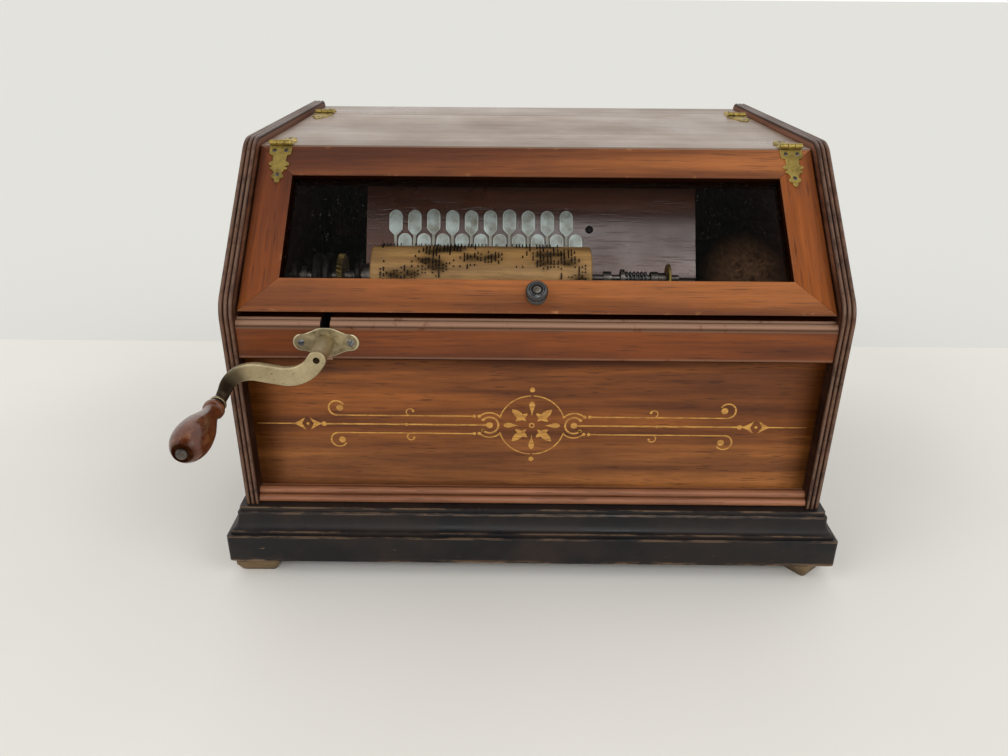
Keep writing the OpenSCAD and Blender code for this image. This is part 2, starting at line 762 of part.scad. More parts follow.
module at_front_hinges() {
    for (x = [-front_hinge_x, front_hinge_x]) translate([x, front_axis[0], front_axis[1]]) children();
}

module rear_hinge_leaves() {
    color("goldenrod") placed() at_rear_hinges() {
        hinge_leaf(true);
        hinge_pin();
    }
}

module lid_hinge_leaves() {
    color("goldenrod") placed() {
        at_rear_hinges() rotate([0, 0, 180]) hinge_leaf(false);
        at_front_hinges() {
            hinge_leaf(true);
            hinge_pin();
        }
    }
}

module door_hinge_leaves() {
    color("goldenrod") placed() at_front_hinges() rotate([slope, 0, 0]) rotate([0, 0, 180]) hinge_leaf(false);
}

// The lid's front edge is bevelled to half the angle of the slope
module lid_board() {
    half_joint = joint_gap / 2;
    lean = lid_t * tan(slope / 2);
    color("#6a4a35") placed() along_x(-door_half_w, door_half_w)
        polygon([[corner_y + half_joint, lid_z], [lid_back, lid_z], [lid_back, lid_z - lid_t],
                 [corner_y + half_joint + lean, lid_z - lid_t]]);
}

// Door frame: four members mitred at the corners and grooved for the glass
glass_h = -door_t / 2 - 1;
module member_section(outer_low, outer_high) {
    difference() {
        polygon([[outer_high, 0], [door_frame_w, 0], [door_frame_w, -door_t], [outer_low, -door_t]]);
        translate([door_frame_w, 0]) circle(r = door_edge_r, $fn = 32);
        translate([door_frame_w - glass_seat - glass_gap, glass_h - glass_gap])
            square([door_frame_w, glass_t + 2 * glass_gap]);
    }
}

module mitre_prism(near, far) {
    translate([0, 0, -door_t - 1]) linear_extrude(door_t + 2)
        polygon([[-near, 0], [near, 0], [far, door_frame_w], [-far, door_frame_w]]);
}

module door_frame() {
    half_joint = joint_gap / 2;
    bottom_lean = door_t / tan(slope);
    top_lean = door_t * tan(slope / 2);
    color("#5e2f1b") placed() on_door() {
        intersection() {
            along_x(-door_half_w, door_half_w) member_section(bottom_lean, 0);
            mitre_prism(door_half_w - seam, door_half_w - door_frame_w - seam);
        }
        translate([0, door_l, 0]) mirror([0, 1, 0]) intersection() {
            along_x(-door_half_w, door_half_w) member_section(half_joint + top_lean, half_joint);
            mitre_prism(door_half_w - seam, door_half_w - door_frame_w - seam);
        }
        for (side = [0, 1]) mirror([side, 0, 0]) door_stile(half_joint, bottom_lean, top_lean);
    }
}

module door_stile(half_joint, bottom_lean, top_lean) {
    intersection() {
        translate([-door_half_w, 0, 0]) along_y(0, door_l) member_section(0, 0);
        translate([0, 0, -door_t - 1]) linear_extrude(door_t + 2)
            polygon([[-door_half_w, 0], [-door_half_w + door_frame_w, door_frame_w],
                     [-door_half_w + door_frame_w, door_l - door_frame_w], [-door_half_w, door_l]]);
        along_x(-door_half_w - 1, door_half_w)
            polygon([[0, 0], [door_l - half_joint, 0], [door_l - half_joint - top_lean, -door_t],
                     [bottom_lean, -door_t]]);
    }
}

module door_glass() {
    inset = door_frame_w - glass_seat;
    color("lightcyan", 0.4) placed() on_door() translate([-door_half_w + inset, inset, glass_h])
        cube([2 * (door_half_w - inset), door_l - 2 * inset, glass_t]);
}

// Turned knob in the middle of the door's lower member
module door_knob() {
    r = knob_d / 2;
    neck = 0.6 * r;
    color("#15110e") placed() on_door() translate([0, door_frame_w / 2, 0]) rotate_extrude() union() {
        square([neck, knob_h - 1]);
        square([r - 1, 1.6]);
        intersection() {
            translate([r - 4, knob_h - 4.5]) circle(r = 4, $fn = 48);
            square([r, knob_h]);
        }
        translate([0, knob_h - 8]) square([r - 3, 7]);
    }
}

// Crankshaft with one throw, hanging straight down at rest
module crankshaft() {
    front_end = arm_y + arm_t + 1;
    y0 = throw_y - throw_half;
    y1 = throw_y + throw_half;
    color("dimgray") placed() translate([crank_x, 0, crank_z]) {
        rod_y(front_end, y0 + web_t / 2, shaft_r);
        rod_y(y1 - web_t / 2, rear_bearing_y + bracket_t + 3, shaft_r);
        translate([0, 0, -throw_r]) rod_y(y0, y1, shaft_r);
        for (y = [y0, y1 - web_t]) along_y(y, y + web_t) {
            circle(r = 6);
            translate([0, -throw_r]) circle(r = 5.5);
            translate([-5.5, -throw_r]) square([11, throw_r]);
        }
    }
}

// Worm with one right-hand thread: its section is a cam that turns as it rises
tooth_half = 0.775 * gear_module / 1.25;
flank = tan(20);
worm_turns = 5.5;
thread_tip = 360 * (tooth_half - addendum * flank) / lead;
thread_root = 360 * (tooth_half + dedendum * flank) / lead;
function thread_r(a) = abs(a) <= thread_tip ? worm_r + addendum
    : abs(a) >= thread_root ? worm_r - dedendum
    : worm_r + addendum - (addendum + dedendum) * (abs(a) - thread_tip) / (thread_root - thread_tip);

module worm() {
    points = 16;
    step = 360 / points;
    color("gray") placed() translate([crank_x, drive_y - 2.75 * lead, crank_z]) rotate([-90, 0, 0])
        linear_extrude(worm_turns * lead, twist = -360 * worm_turns, slices = 10 * worm_turns, $fn = points)
        difference() {
            polygon([for (i = [0:points - 1]) thread_r(i * step - 180) * [cos(i * step - 180), sin(i * step - 180)]]);
            circle(r = shaft_r + body_gap, $fn = 12);
        }
}

// S-shaped flat arm with its socket, its turned-out end and the spindle of the handle
// Edge of the arm at a share of its run, on the outer (1) or the inner (-1) side of its first bend
arm_steps = 10;
arm_start = atan2(-arm_c1[1], -arm_c1[0]);
arm_taper = 0.22;
function arm_half(share) = arm_w / 2 * (1 - arm_taper * share);
function arm_edge(side) = concat(
    [for (i = [0:arm_steps]) let (a = arm_start + (arm_joint - arm_start) * i / arm_steps)
        arm_c1 + (arm_r1 + side * arm_half(i / arm_steps / 2)) * [cos(a), sin(a)]],
    [for (i = [0:arm_steps]) let (a = 180 + arm_joint + (arm_last - 180 - arm_joint) * i / arm_steps)
        arm_c2 + (arm_r2 - side * arm_half(0.5 + i / arm_steps / 2)) * [cos(a), sin(a)]]);
module arm_outline() {
    outer = arm_edge(1);
    inner = arm_edge(-1);
    polygon(concat(outer, [for (i = [len(inner) - 1:-1:0]) inner[i]]));
}

module crank_arm() {
    eye_r = arm_w / 2 + 0.4;
    eye_hole_r = 2.3;
    collar_r = 5.4;
    rivet_r = 3.6;
    color("#9a8a5a") placed() translate([crank_x, 0, crank_z]) {
        difference() {
            union() {
                along_y(arm_y, arm_y + arm_t) {
                    circle(r = eye_r);
                    arm_outline();
                    translate(arm_end) circle(r = arm_half(1) - 0.2);
                }
                rod_y(arm_y + arm_t / 2, arm_y + arm_t + socket_l, socket_r);
            }
            rod_y(arm_y + arm_t + 0.5, rail_set, shaft_r + run_gap);
            rod_y(arm_y - 1, arm_y + arm_t + 1, eye_hole_r);
        }
        translate([arm_end[0], arm_mid_y - bend_r, arm_end[1]])
            multmatrix([[0, arm_dir[0], arm_dir[1], 0], [1, 0, 0, 0], [0, arm_dir[1], -arm_dir[0], 0], [0, 0, 0, 1]])
                rotate_extrude(angle = 90) translate([bend_r, 0]) circle(r = rod_end_r, $fn = 32);
        translate([handle_at[0], 0, handle_at[1]]) {
            rod_y(collar_y - collar_l, collar_y, collar_r);
            rod_y(front_reach + rivet_l / 2, collar_y, spindle_r);
            rod_y(front_reach, front_reach + rivet_l, rivet_r);
        }
    }
}

// Turned wooden handle: a bead at the neck, a slim waist and a pear-shaped grip
grip_waist = 0.45;
handle_neck = 5.6;
function handle_radius(t) = t < 0.1 ? handle_neck + 0.6 + 0.7 * sin(1800 * t)
    : t < 0.16 ? handle_neck
    : let (u = (t - 0.16) / 0.84) handle_neck + (handle_r - handle_neck) * pow(sin(180 * pow(u, 0.8 + grip_waist)), 0.9)
        + (u > 0.7 ? 1.6 * (u - 0.7) / 0.3 : 0);

module crank_handle() {
    steps = 36;
    outline = [for (i = [0:steps]) [handle_radius(i / steps), handle_l * i / steps]];
    color("#8b4a22") placed() translate([handle_x, handle_y, handle_z]) rotate([90, 0, 0]) rotate_extrude()
        polygon(concat([[spindle_r + run_gap, 0]], outline, [[spindle_r + run_gap, handle_l]]));
}

// Drive arbor with its collars and the spigot that carries the roller's left end
spigot_l = 12;
chuck_l = 5.6;
chuck_r = 9.5;
arbor_collar_r = 7;
arbor_collar_l = 4;
module drive_arbor() {
    side_gap = 16;
    left_end = -inner_x + side_gap;
    color("dimgray") placed() translate([0, drive_y, drive_z]) {
        rod_x(left_end, roller_x + spigot_l, arbor_r);
        rod_x(chuck_bracket_x + bracket_t / 2 + body_gap, roller_x - chuck_l, arbor_collar_r);
        rod_x(roller_x - chuck_l, roller_x - body_gap, chuck_r);
        rod_x(left_bracket_x + bracket_t + 2, left_bracket_x + bracket_t + 2 + arbor_collar_l, arbor_collar_r);
    }
}

module wheel_outline() {
    tip_half = 180 / PI * (tooth_half - addendum * flank) / (wheel_r + addendum);
    root_half = 180 / PI * (tooth_half + dedendum * flank) / (wheel_r - dedendum);
    tip = wheel_r + addendum;
    root = wheel_r - dedendum;
    function ray(r, a) = r * [cos(a), sin(a)];
    polygon([for (i = [0:wheel_teeth - 1]) let (a = -90 + (i + 0.5) * 360 / wheel_teeth)
        each [ray(root, a - root_half), ray(tip, a - tip_half), ray(tip, a + tip_half), ray(root, a + root_half)]]);
}

// Teeth lean as the worm's thread does, and a tooth space stands over the worm at rest
module worm_wheel() {
    lean = 180 / PI * wheel_w * lead / (2 * PI * worm_r) / wheel_r;
    color("darkgoldenrod") placed() translate([crank_x - wheel_w / 2, drive_y, drive_z]) rotate([90, 0, 90])
        rotate([0, 0, -lean / 2]) linear_extrude(wheel_w, twist = -lean, slices = 2) difference() {
            wheel_outline();
            circle(r = arbor_r + body_gap, $fn = 24);
        }
}

// Grooved cam that steps the roller sideways at each turn
module shift_cam() {
    groove = 2.5;
    color("#2a2a2a") placed() translate([cam_x - cam_w / 2, drive_y, drive_z]) rotate([0, 90, 0]) rotate_extrude()
        polygon([[arbor_r + run_gap, 0], [cam_r - 1, 0], [cam_r, 1], [cam_r, cam_w / 2 - groove],
                 [cam_r - groove, cam_w / 2], [cam_r, cam_w / 2 + groove], [cam_r, cam_w - 1], [cam_r - 1, cam_w],
                 [arbor_r + run_gap, cam_w]]);
}

tail_spigot_l = 8;
module roller() {
    edge = 2;
    color("#b98a4b") placed() translate([roller_x, drive_y, drive_z]) rotate([0, 90, 0]) difference() {
        rotate_extrude() union() {
            square([roller_r - edge, roller_len]);
            translate([0, edge]) square([roller_r, roller_len - 2 * edge]);
            for (z = [edge, roller_len - edge]) translate([roller_r - edge, z]) circle(r = edge, $fn = 32);
        }
        translate([0, 0, -1]) cylinder(h = spigot_l + 2, r = arbor_r + run_gap);
        translate([0, 0, roller_len - tail_spigot_l - 1]) cylinder(h = tail_spigot_l + 2, r = tail_r + run_gap);
    }
}

// Pins spread round the roller under every key by a fixed rule
pin_root = 2;
function pin_angle(i, k) = let (x = i * 0.618 + k * 0.382) 360 * (k + 0.75 * (x - floor(x))) / pins_per_key;
module roller_pins() {
    color("black") placed() translate([0, drive_y, drive_z])
        for (i = [1:key_count], k = [0:pins_per_key - 1]) translate([key_x(i), 0, 0])
            rotate([pin_angle(i, k), 0, 0]) translate([0, 0, roller_r - pin_root])
                cylinder(h = pin_root + pin_h, r = pin_r, $fn = 16);
}

// Sliding tail arbor with its finger collar and spring flange
tail_collar_off = 10;
tail_collar_l = 6;
tail_collar_r = 5;
flange_off = 23;
flange_t = 3;
flange_r = 6.5;
tail_over = 6;
tail_collar_x = roller_end + tail_collar_off;
flange_x = roller_end + flange_off;
module tail_rod() {
    color("silver") placed() translate([0, drive_y, drive_z]) {
        rod_x(roller_end - tail_spigot_l, tail_bracket_x + bracket_t + tail_over, tail_r);
        rod_x(tail_collar_x, tail_collar_x + tail_collar_l, tail_collar_r);
        rod_x(flange_x, flange_x + flange_t, flange_r);
    }
}

// Tail spring: one round wire swept along a helix, with straight ends square to what they meet
spring_x0 = flange_x + flange_t + 0.1;
spring_x1 = boss_x - 0.1;
spring_end = 2 * spring_wire_r;
spring_rings = 8;
spring_steps = spring_turns * spring_rings;
function coil_point(i) = let (a = 360 * i / spring_rings, run = spring_x1 - spring_x0 - 2 * spring_end)
    [spring_x0 + spring_end + run * i / spring_steps, spring_r * cos(a), spring_r * sin(a)];
spring_path = concat(
    [[spring_x0, spring_r, 0], [spring_x0 + spring_end / 2, spring_r, 0]],
    [for (i = [0:spring_steps]) coil_point(i)],
    [[spring_x1 - spring_end / 2, spring_r, 0], [spring_x1, spring_r, 0]]);

function unit(v) = v / norm(v);
function path_tangent(p, i) = i == 0 ? [1, 0, 0]
    : i == len(p) - 1 ? [1, 0, 0]
    : unit(p[i + 1] - p[i - 1]);
function ring_side(p, i) = let (t = path_tangent(p, i), out = unit([0, p[i][1], p[i][2]])) unit(out - (out * t) * t);

module tube(p, r, sides) {
    n = len(p);
    points = [for (i = [0:n - 1]) let (t = path_tangent(p, i), a = ring_side(p, i), b = cross(t, a))
        for (k = [0:sides - 1]) p[i] + r * (cos(360 * k / sides) * a + sin(360 * k / sides) * b)];
    walls = [for (i = [0:n - 2], k = [0:sides - 1]) let (k1 = (k + 1) % sides, o = i * sides)
        each [[o + k, o + k1, o + sides + k1], [o + k, o + sides + k1, o + sides + k]]];
    caps = [for (k = [1:sides - 2]) each [[0, k + 1, k],
        [(n - 1) * sides, (n - 1) * sides + k, (n - 1) * sides + k + 1]]];
    polyhedron(points, [for (f = concat(walls, caps)) [f[0], f[2], f[1]]]);
}

spring_apart = spring_rings - 2;
echo(tail_spring_least_gap = min([for (i = [0:len(spring_path) - 1], j = [i + spring_apart:len(spring_path) - 1])
    norm(spring_path[i] - spring_path[j])]) - 2 * spring_wire_r);

module tail_spring() {
    color("gray") placed() translate([0, drive_y, drive_z]) tube(spring_path, spring_wire_r, 6);
}

// Connecting rod from the throw down to the feeder
module connecting_rod() {
    eye_r = 6;
    color("burlywood") placed() translate([crank_x, 0, crank_z - throw_r])
        along_y(throw_y - rod_t / 2, throw_y + rod_t / 2) difference() {
            union() {
                circle(r = shaft_r + 3.5);
                translate([0, -rod_l]) circle(r = eye_r);
                translate([-3.5, -rod_l]) square([7, rod_l]);
            }
            circle(r = shaft_r + run_gap);
            translate([0, -rod_l]) circle(r = 2.6);
        }
}

// Feeder board under the deck, with a tongue beside the rod's lower eye
module on_feeder() {
    translate([feeder_hinge_x, 0, feeder_hinge_z]) rotate([0, -feeder_slope, 0]) children();
}

feeder_y0 = feeder_mid_y - feeder_w / 2;
tongue_t = 11;
tongue_w = 14;
module feeder_board() {
    reach = (feeder_hinge_x - crank_x) / cos(feeder_slope);
    length = (feeder_hinge_x - feeder_left) / cos(feeder_slope);
    t = bellows_board_t;
    color("peru") placed() on_feeder() difference() {
        union() {
            translate([-length, feeder_y0, -t / 2]) cube([length, feeder_w, t]);
            translate([-reach, throw_y + rod_t / 2 + body_gap + 0.2, -t / 2]) cube([reach / 2, tongue_t, t]);
            translate([-reach, 0, 0])
                rod_y(throw_y + rod_t / 2 + body_gap + 0.2, throw_y + rod_t / 2 + body_gap + 0.2 + tongue_t, tongue_w / 2);
        }
        translate([-reach, 0, 0]) rod_y(throw_y, throw_y + 2 * tongue_t, 2.6);
    }
}

// Pleated leather between the deck and the feeder board
cloth_inset = 6;
function feeder_top(x) = feeder_hinge_z + bellows_board_t / 2 / cos(feeder_slope)
    + (x - feeder_hinge_x) * tan(feeder_slope);
module feeder_cloth() {
    x0 = feeder_left + cloth_inset;
    x1 = feeder_hinge_x - cloth_inset;
    color("wheat") placed() along_y(feeder_y0 + cloth_inset, feeder_y0 + feeder_w - cloth_inset)
        polygon([[x0, deck_z - deck_t], [x1, deck_z - deck_t], [x1, feeder_top(x1) + body_gap],
                 [x0, feeder_top(x0) + body_gap]]);
}

// Reservoir behind the reeds, hinged at the back of the deck
module reservoir_board() {
    color("peru") placed() translate([reservoir_x - reservoir_w / 2, reservoir_hinge_y, reservoir_hinge_z])
        rotate([-reservoir_open, 0, 0]) translate([0, -reservoir_l, -bellows_board_t / 2])
            cube([reservoir_w, reservoir_l, bellows_board_t]);
}

function reservoir_under(y) = reservoir_hinge_z - bellows_board_t / 2 / cos(reservoir_open)
    + (reservoir_hinge_y - y) * tan(reservoir_open);
module reservoir_cloth() {
    y0 = reservoir_hinge_y - reservoir_l * cos(reservoir_open) + cloth_inset;
    y1 = reservoir_hinge_y - cloth_inset;
    color("wheat") placed()
        along_x(reservoir_x - reservoir_w / 2 + cloth_inset, reservoir_x + reservoir_w / 2 - cloth_inset)
            polygon([[y0, deck_z], [y1, deck_z], [y1, reservoir_under(y1) - body_gap],
                     [y0, reservoir_under(y0) - body_gap]]);
}

side_left();
side_right();
plinth_mouldings();
base_board();
feet();
front_panel();
front_rail();
lower_moulding();
back_panel();
top_strip();
deck_board();
escutcheon();
bearing_brackets();
pallet_board();
reed_block();
reeds();
key_pivots();
rear_hinge_leaves();
lid_board();
lid_hinge_leaves();
door_frame();
door_glass();
door_hinge_leaves();
door_knob();
crankshaft();
worm();
crank_arm();
crank_handle();
drive_arbor();
worm_wheel();
shift_cam();
roller();
roller_pins();
tail_rod();
tail_spring();
connecting_rod();
feeder_board();
feeder_cloth();
reservoir_board();
reservoir_cloth();
for (i = [1:key_count]) key(i);
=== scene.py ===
# %% [markdown]
# # A roller organ, dressed for its photograph
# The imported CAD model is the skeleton: it holds every size, joint and body. This lesson puts a
# finished surface on each piece, worked out with numpy, and gives it to the body it moves with.

# %% Load the skeleton
import math
import bmesh
import bpy
import numpy as np
from mathutils import Matrix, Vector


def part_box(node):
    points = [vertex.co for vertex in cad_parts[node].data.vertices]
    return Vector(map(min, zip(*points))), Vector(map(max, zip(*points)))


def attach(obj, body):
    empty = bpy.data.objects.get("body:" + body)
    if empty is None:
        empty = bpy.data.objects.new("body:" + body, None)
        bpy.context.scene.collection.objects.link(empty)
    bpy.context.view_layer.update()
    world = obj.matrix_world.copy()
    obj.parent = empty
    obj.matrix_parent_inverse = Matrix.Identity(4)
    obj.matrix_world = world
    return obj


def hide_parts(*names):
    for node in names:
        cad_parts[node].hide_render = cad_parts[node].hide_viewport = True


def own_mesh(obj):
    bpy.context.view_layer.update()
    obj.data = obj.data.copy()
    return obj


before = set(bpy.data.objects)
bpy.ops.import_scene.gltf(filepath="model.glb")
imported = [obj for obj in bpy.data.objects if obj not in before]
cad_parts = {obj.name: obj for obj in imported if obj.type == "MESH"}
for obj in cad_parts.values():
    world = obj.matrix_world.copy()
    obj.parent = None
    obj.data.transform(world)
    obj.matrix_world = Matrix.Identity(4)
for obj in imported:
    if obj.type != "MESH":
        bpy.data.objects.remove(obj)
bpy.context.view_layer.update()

# %% [markdown]
# ## Sizes
# The case is measured in millimetres from the front edges of its sides, as a joiner would on the
# bench. The skeleton is in metres with its origin under the whole object, so one shift and one
# scale join the two. Only the sizes that several pieces share stand here.

# %% Sizes of the case, in millimetres
X, Y, Z = np.eye(3)
FRONT = float(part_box("side_left")[0][1]) * 1000
CASE_W, CASE_D, CASE_H, BELLY, RUN = 432.0, 348.0, 308.0, 212.5, 103.5
SIDE_T, CORNER_R, REVEAL = 10.0, 9.0, 6.0
INNER = CASE_W / 2 - SIDE_T
BASE_TOP, FOOT_H, PROJ = 55.0, 12.0, 14.0
SLOPE = math.atan2(CASE_H - BELLY, RUN)
UP_SLOPE = np.array([0, math.cos(SLOPE), math.sin(SLOPE)])
OFF_SLOPE = np.array([0, -math.sin(SLOPE), math.cos(SLOPE)])
LID_T, LID_Z, BACK_SET, STRIP_D = 12.0, CASE_H - REVEAL, 2.0, 62.0
LID_BACK = CASE_D - BACK_SET - STRIP_D
CORNER_Y = ((LID_Z - BELLY) * math.cos(SLOPE) + REVEAL) / math.sin(SLOPE)
print("slope", math.degrees(SLOPE), "lid from", CORNER_Y, "to", LID_BACK)

# %% Sizes of the door and the works, in millimetres
DOOR_SET, DOOR_T, MEMBER, END_GAP, JOINT_GAP = 4.6, 14.0, 26.0, 1.6, 0.4
DOOR_Z = BELLY - REVEAL / math.cos(SLOPE) + DOOR_SET * math.tan(SLOPE)
DOOR_L = (CORNER_Y - DOOR_SET) / math.cos(SLOPE)
DOOR_HALF = INNER - END_GAP
RAIL_DROP = 3.4
RAIL_TOP = DOOR_Z - RAIL_DROP
CRANK_X, CRANK_Z = -144.5, 187.0
CRANK = np.array([CRANK_X, 0, CRANK_Z])
DRIVE_Y, DRIVE_Z, DECK_Z = 75.0, 211.0, 170.0
AXIS = np.array([0, DRIVE_Y, DRIVE_Z])
KEY_MID, KEY_PITCH, KEYS = -38.0, 7.62, 20
print("door", DOOR_L, "long from height", DOOR_Z)

# %% [markdown]
# ## Camera
# The photograph was taken from the front, a little above, with a wide lens. A camera could be placed
# by eye. Here its focal length, place and turns were worked out from the case's straight edges, so
# that the two pictures can be laid over each other.

# %% Camera at the photograph's place
PHOTO_W, FOCAL_PX, SENSOR = 1008, 809.08, 36.0
CAMERA_AT = np.array([-19.532, -511.557, 402.435])
yaw, pitch, roll = np.radians([0.26, 25.18, -0.39])


def tilt(angle, i, j):
    """A turn that carries axis i towards axis j: the angle's cosine on both, plus and minus its sine."""
    turn = np.eye(3)
    turn[[i, j], [i, j]] = math.cos(angle)
    turn[j, i], turn[i, j] = math.sin(angle), -math.sin(angle)
    return turn


right, ahead, up = (tilt(yaw, 0, 1) @ tilt(pitch, 2, 1) @ tilt(roll, 2, 0)).T
eye = (CAMERA_AT + [0, FRONT, 0]) / 1000
lens = bpy.data.cameras.new("photo_camera")
lens.sensor_width = SENSOR
lens.lens = FOCAL_PX / PHOTO_W * SENSOR
camera = bpy.data.objects.new("photo_camera", lens)
camera.matrix_world = Matrix([[right[k], up[k], -ahead[k], eye[k]] for k in range(3)] + [[0, 0, 0, 1]])
bpy.context.collection.objects.link(camera)
bpy.context.scene.camera = camera
print("camera at", eye, "with a lens of", lens.lens)

# %% [markdown]
# ## Shapes from arrays
# Nearly everything on this case is a section carried along an edge, a turning or a bent bar. They
# could be modelled by hand with Extrude, Spin and Bevel. Here each is an array of points, because a
# formula keeps to the sizes and also knows where dirt and shade gather and where hands rub. So a shape is
# four things: points, faces, and two marks on each point. "groove" says how deep in a corner the
# point lies, which brings dirt and painted shade on wood, and "wear" how exposed it is.

# %% Shapes, grids and skins
def shape(points, faces, groove=0.0, wear=0.0):
    """A shape from points, blocks of faces and marks. A mark is one number or one per point."""
    points = np.asarray(points, float)
    n = len(points)
    return (points, [np.asarray(f) for f in faces],
            np.broadcast_to(groove, n) * 1.0, np.broadcast_to(wear, n) * 1.0)


def remark(made, groove=None, wear=None):
    """The same shape with another groove or wear."""
    points, faces, old_groove, old_wear = made
    return shape(points, faces, old_groove if groove is None else groove,
                 old_wear if wear is None else wear)


def merge(*parts):
    """Several shapes as one: points are stacked, and face numbers move up by the points before them."""
    before = np.cumsum([0] + [len(part[0]) for part in parts])
    faces = [f + first for part, first in zip(parts, before) for f in part[1]]
    return (np.concatenate([part[0] for part in parts]), faces,
            np.concatenate([part[2] for part in parts]), np.concatenate([part[3] for part in parts]))


def grid_faces(n, m, round_n=False, round_m=False):
    """Quads of an n by m grid, closed on itself where asked: point i, j is number i times m plus j."""
    i, j = np.meshgrid(np.arange(n if round_n else n - 1), np.arange(m if round_m else m - 1),
                       indexing="ij")
    i1, j1 = (i + 1) % n, (j + 1) % m
    return np.stack([i * m + j, i * m + j1, i1 * m + j1, i1 * m + j], -1).reshape(-1, 4)


def skin(rings, groove=0.0, wear=0.0):
    """Quads over n rings of m points, and a flat cap on each end. Marks fit an n by m array."""
    n, m = rings.shape[:2]
    cap = np.arange(m)[None]
    return shape(rings.reshape(-1, 3), [grid_faces(n, m, False, True), cap[:, ::-1], cap + (n - 1) * m],
                 np.broadcast_to(groove, (n, m)).ravel(), np.broadcast_to(wear, (n, m)).ravel())


print("4 rings of 12 points have", len(grid_faces(4, 12, False, True)), "quads")

# %% [markdown]
# ### Outlines
# A moulding is drawn as a flat outline first, as on a joiner's board. Arcs give its beads, and extra
# points between the corners let dirt and wear fade over a millimetre or so instead of a whole face.

# %% Directions, arcs and round corners
def unit(v):
    """A vector, or rows of them, over its own length."""
    v = np.asarray(v, float)
    return v / np.linalg.norm(v, axis=-1, keepdims=True)


def ray(angle):
    """The direction at an angle in radians: its cosine and its sine."""
    return np.stack([np.cos(angle), np.sin(angle)], -1)


def arc(cx, cy, r, a0, a1, n=12):
    """n + 1 points on a circle: the centre plus r times the ray, from angle a0 to a1 in degrees."""
    return np.array([cx, cy]) + r * ray(np.radians(np.linspace(a0, a1, n + 1)))


def rounded(points, r, n=4):
    """A polygon with an arc for each corner: its centre lies r over the half angle's sine inwards."""
    p = np.asarray(points, float)
    r = np.broadcast_to(r, len(p)).astype(float)[:, None]
    a, b = unit(np.roll(p, 1, 0) - p), unit(np.roll(p, -1, 0) - p)
    half = np.arccos(np.clip((a * b).sum(-1), -1, 1))[:, None] / 2
    centre = p + unit(a + b) * r / np.sin(half)
    s0, s1 = p + a * r / np.tan(half) - centre, p + b * r / np.tan(half) - centre
    swing = (math.pi - 2 * half)[:, None]
    t = np.linspace(0, 1, n + 1)[None, :, None]
    curve = np.sin((1 - t) * swing) * s0[:, None] + np.sin(t * swing) * s1[:, None]
    return (centre[:, None] + curve / np.sin(swing)).reshape(-1, 2)


print("a square with round corners has", len(rounded([[0, 0], [9, 0], [9, 9], [0, 9]], 1)), "points")

# %% Points along an outline, and their marks
def dense(profile, step=0.9):
    """The same closed outline with points at every corner and at least every step along it."""
    p = np.concatenate([profile, profile[:1]])
    run = np.concatenate([[0], np.cumsum(np.linalg.norm(np.diff(p, axis=0), axis=1))])
    at = np.unique(np.round(np.concatenate([run, np.arange(0, run[-1], step)]), 4))[:-1]
    return np.stack([np.interp(at, run, p[:, 0]), np.interp(at, run, p[:, 1])], -1)


def corner_marks(points, profile, reach=1.1, bent=0.3):
    """Grime and painted shade near an outline's inner corners and wear near its outer ones, as a bell curve
    of the reach.
    """
    p = np.asarray(profile, float)
    a, b = p - np.roll(p, 1, 0), np.roll(p, -1, 0) - p
    turn = np.arctan2(a[:, 0] * b[:, 1] - a[:, 1] * b[:, 0], (a * b).sum(-1))
    turn = turn * np.sign(turn.sum())
    near = np.exp(-(np.linalg.norm(points[:, None] - p[None], axis=-1) / reach) ** 2)
    return np.where(turn < -bent, near, 0).max(-1), np.where(turn > bent, near, 0).max(-1)


print("a square of 9 has", len(dense(np.array([[0, 0], [9, 0], [9, 9], [0, 9]]))), "points along it")

# %% [markdown]
# ### Straight lengths and meshes
# A length of moulding is its outline at both ends with quads between. Blender then needs a mesh
# object: its place is in its points, its two marks become attributes that the finishes read, it hangs
# from an empty for the body it rides on, and the CAD nodes it stands for are hidden.

# %% Straight lengths
def prism(profile, lo, hi, origin=(0, 0, 0), u=Y, v=Z, w=X, corners=None, soot_and_shade=0.0):
    """An outline in u and v carried along w from lo to hi, each a number or one per point."""
    p = np.asarray(profile, float)
    flat = np.asarray(origin, float) + p[:, :1] * u + p[:, 1:] * v
    ends = np.stack([flat + np.broadcast_to(end, len(p))[:, None] * w for end in (lo, hi)])
    groove, wear = corner_marks(p, p if corners is None else corners)
    return skin(ends, np.maximum(groove, soot_and_shade), wear * (1 - np.clip(soot_and_shade, 0, 1)))


def block(lo, hi):
    """A box between two corners, for the Bevel modifier to ease."""
    return prism([[lo[1], lo[2]], [hi[1], lo[2]], [hi[1], hi[2]], [lo[1], hi[2]]], lo[0], hi[0])


print("a block has", len(block((0, 0, 0), (1, 1, 1))[0]), "points")

# %% Mesh objects
BEVEL_STEPS, BEVEL_FROM, FACING = 3, math.radians(35), 0.99


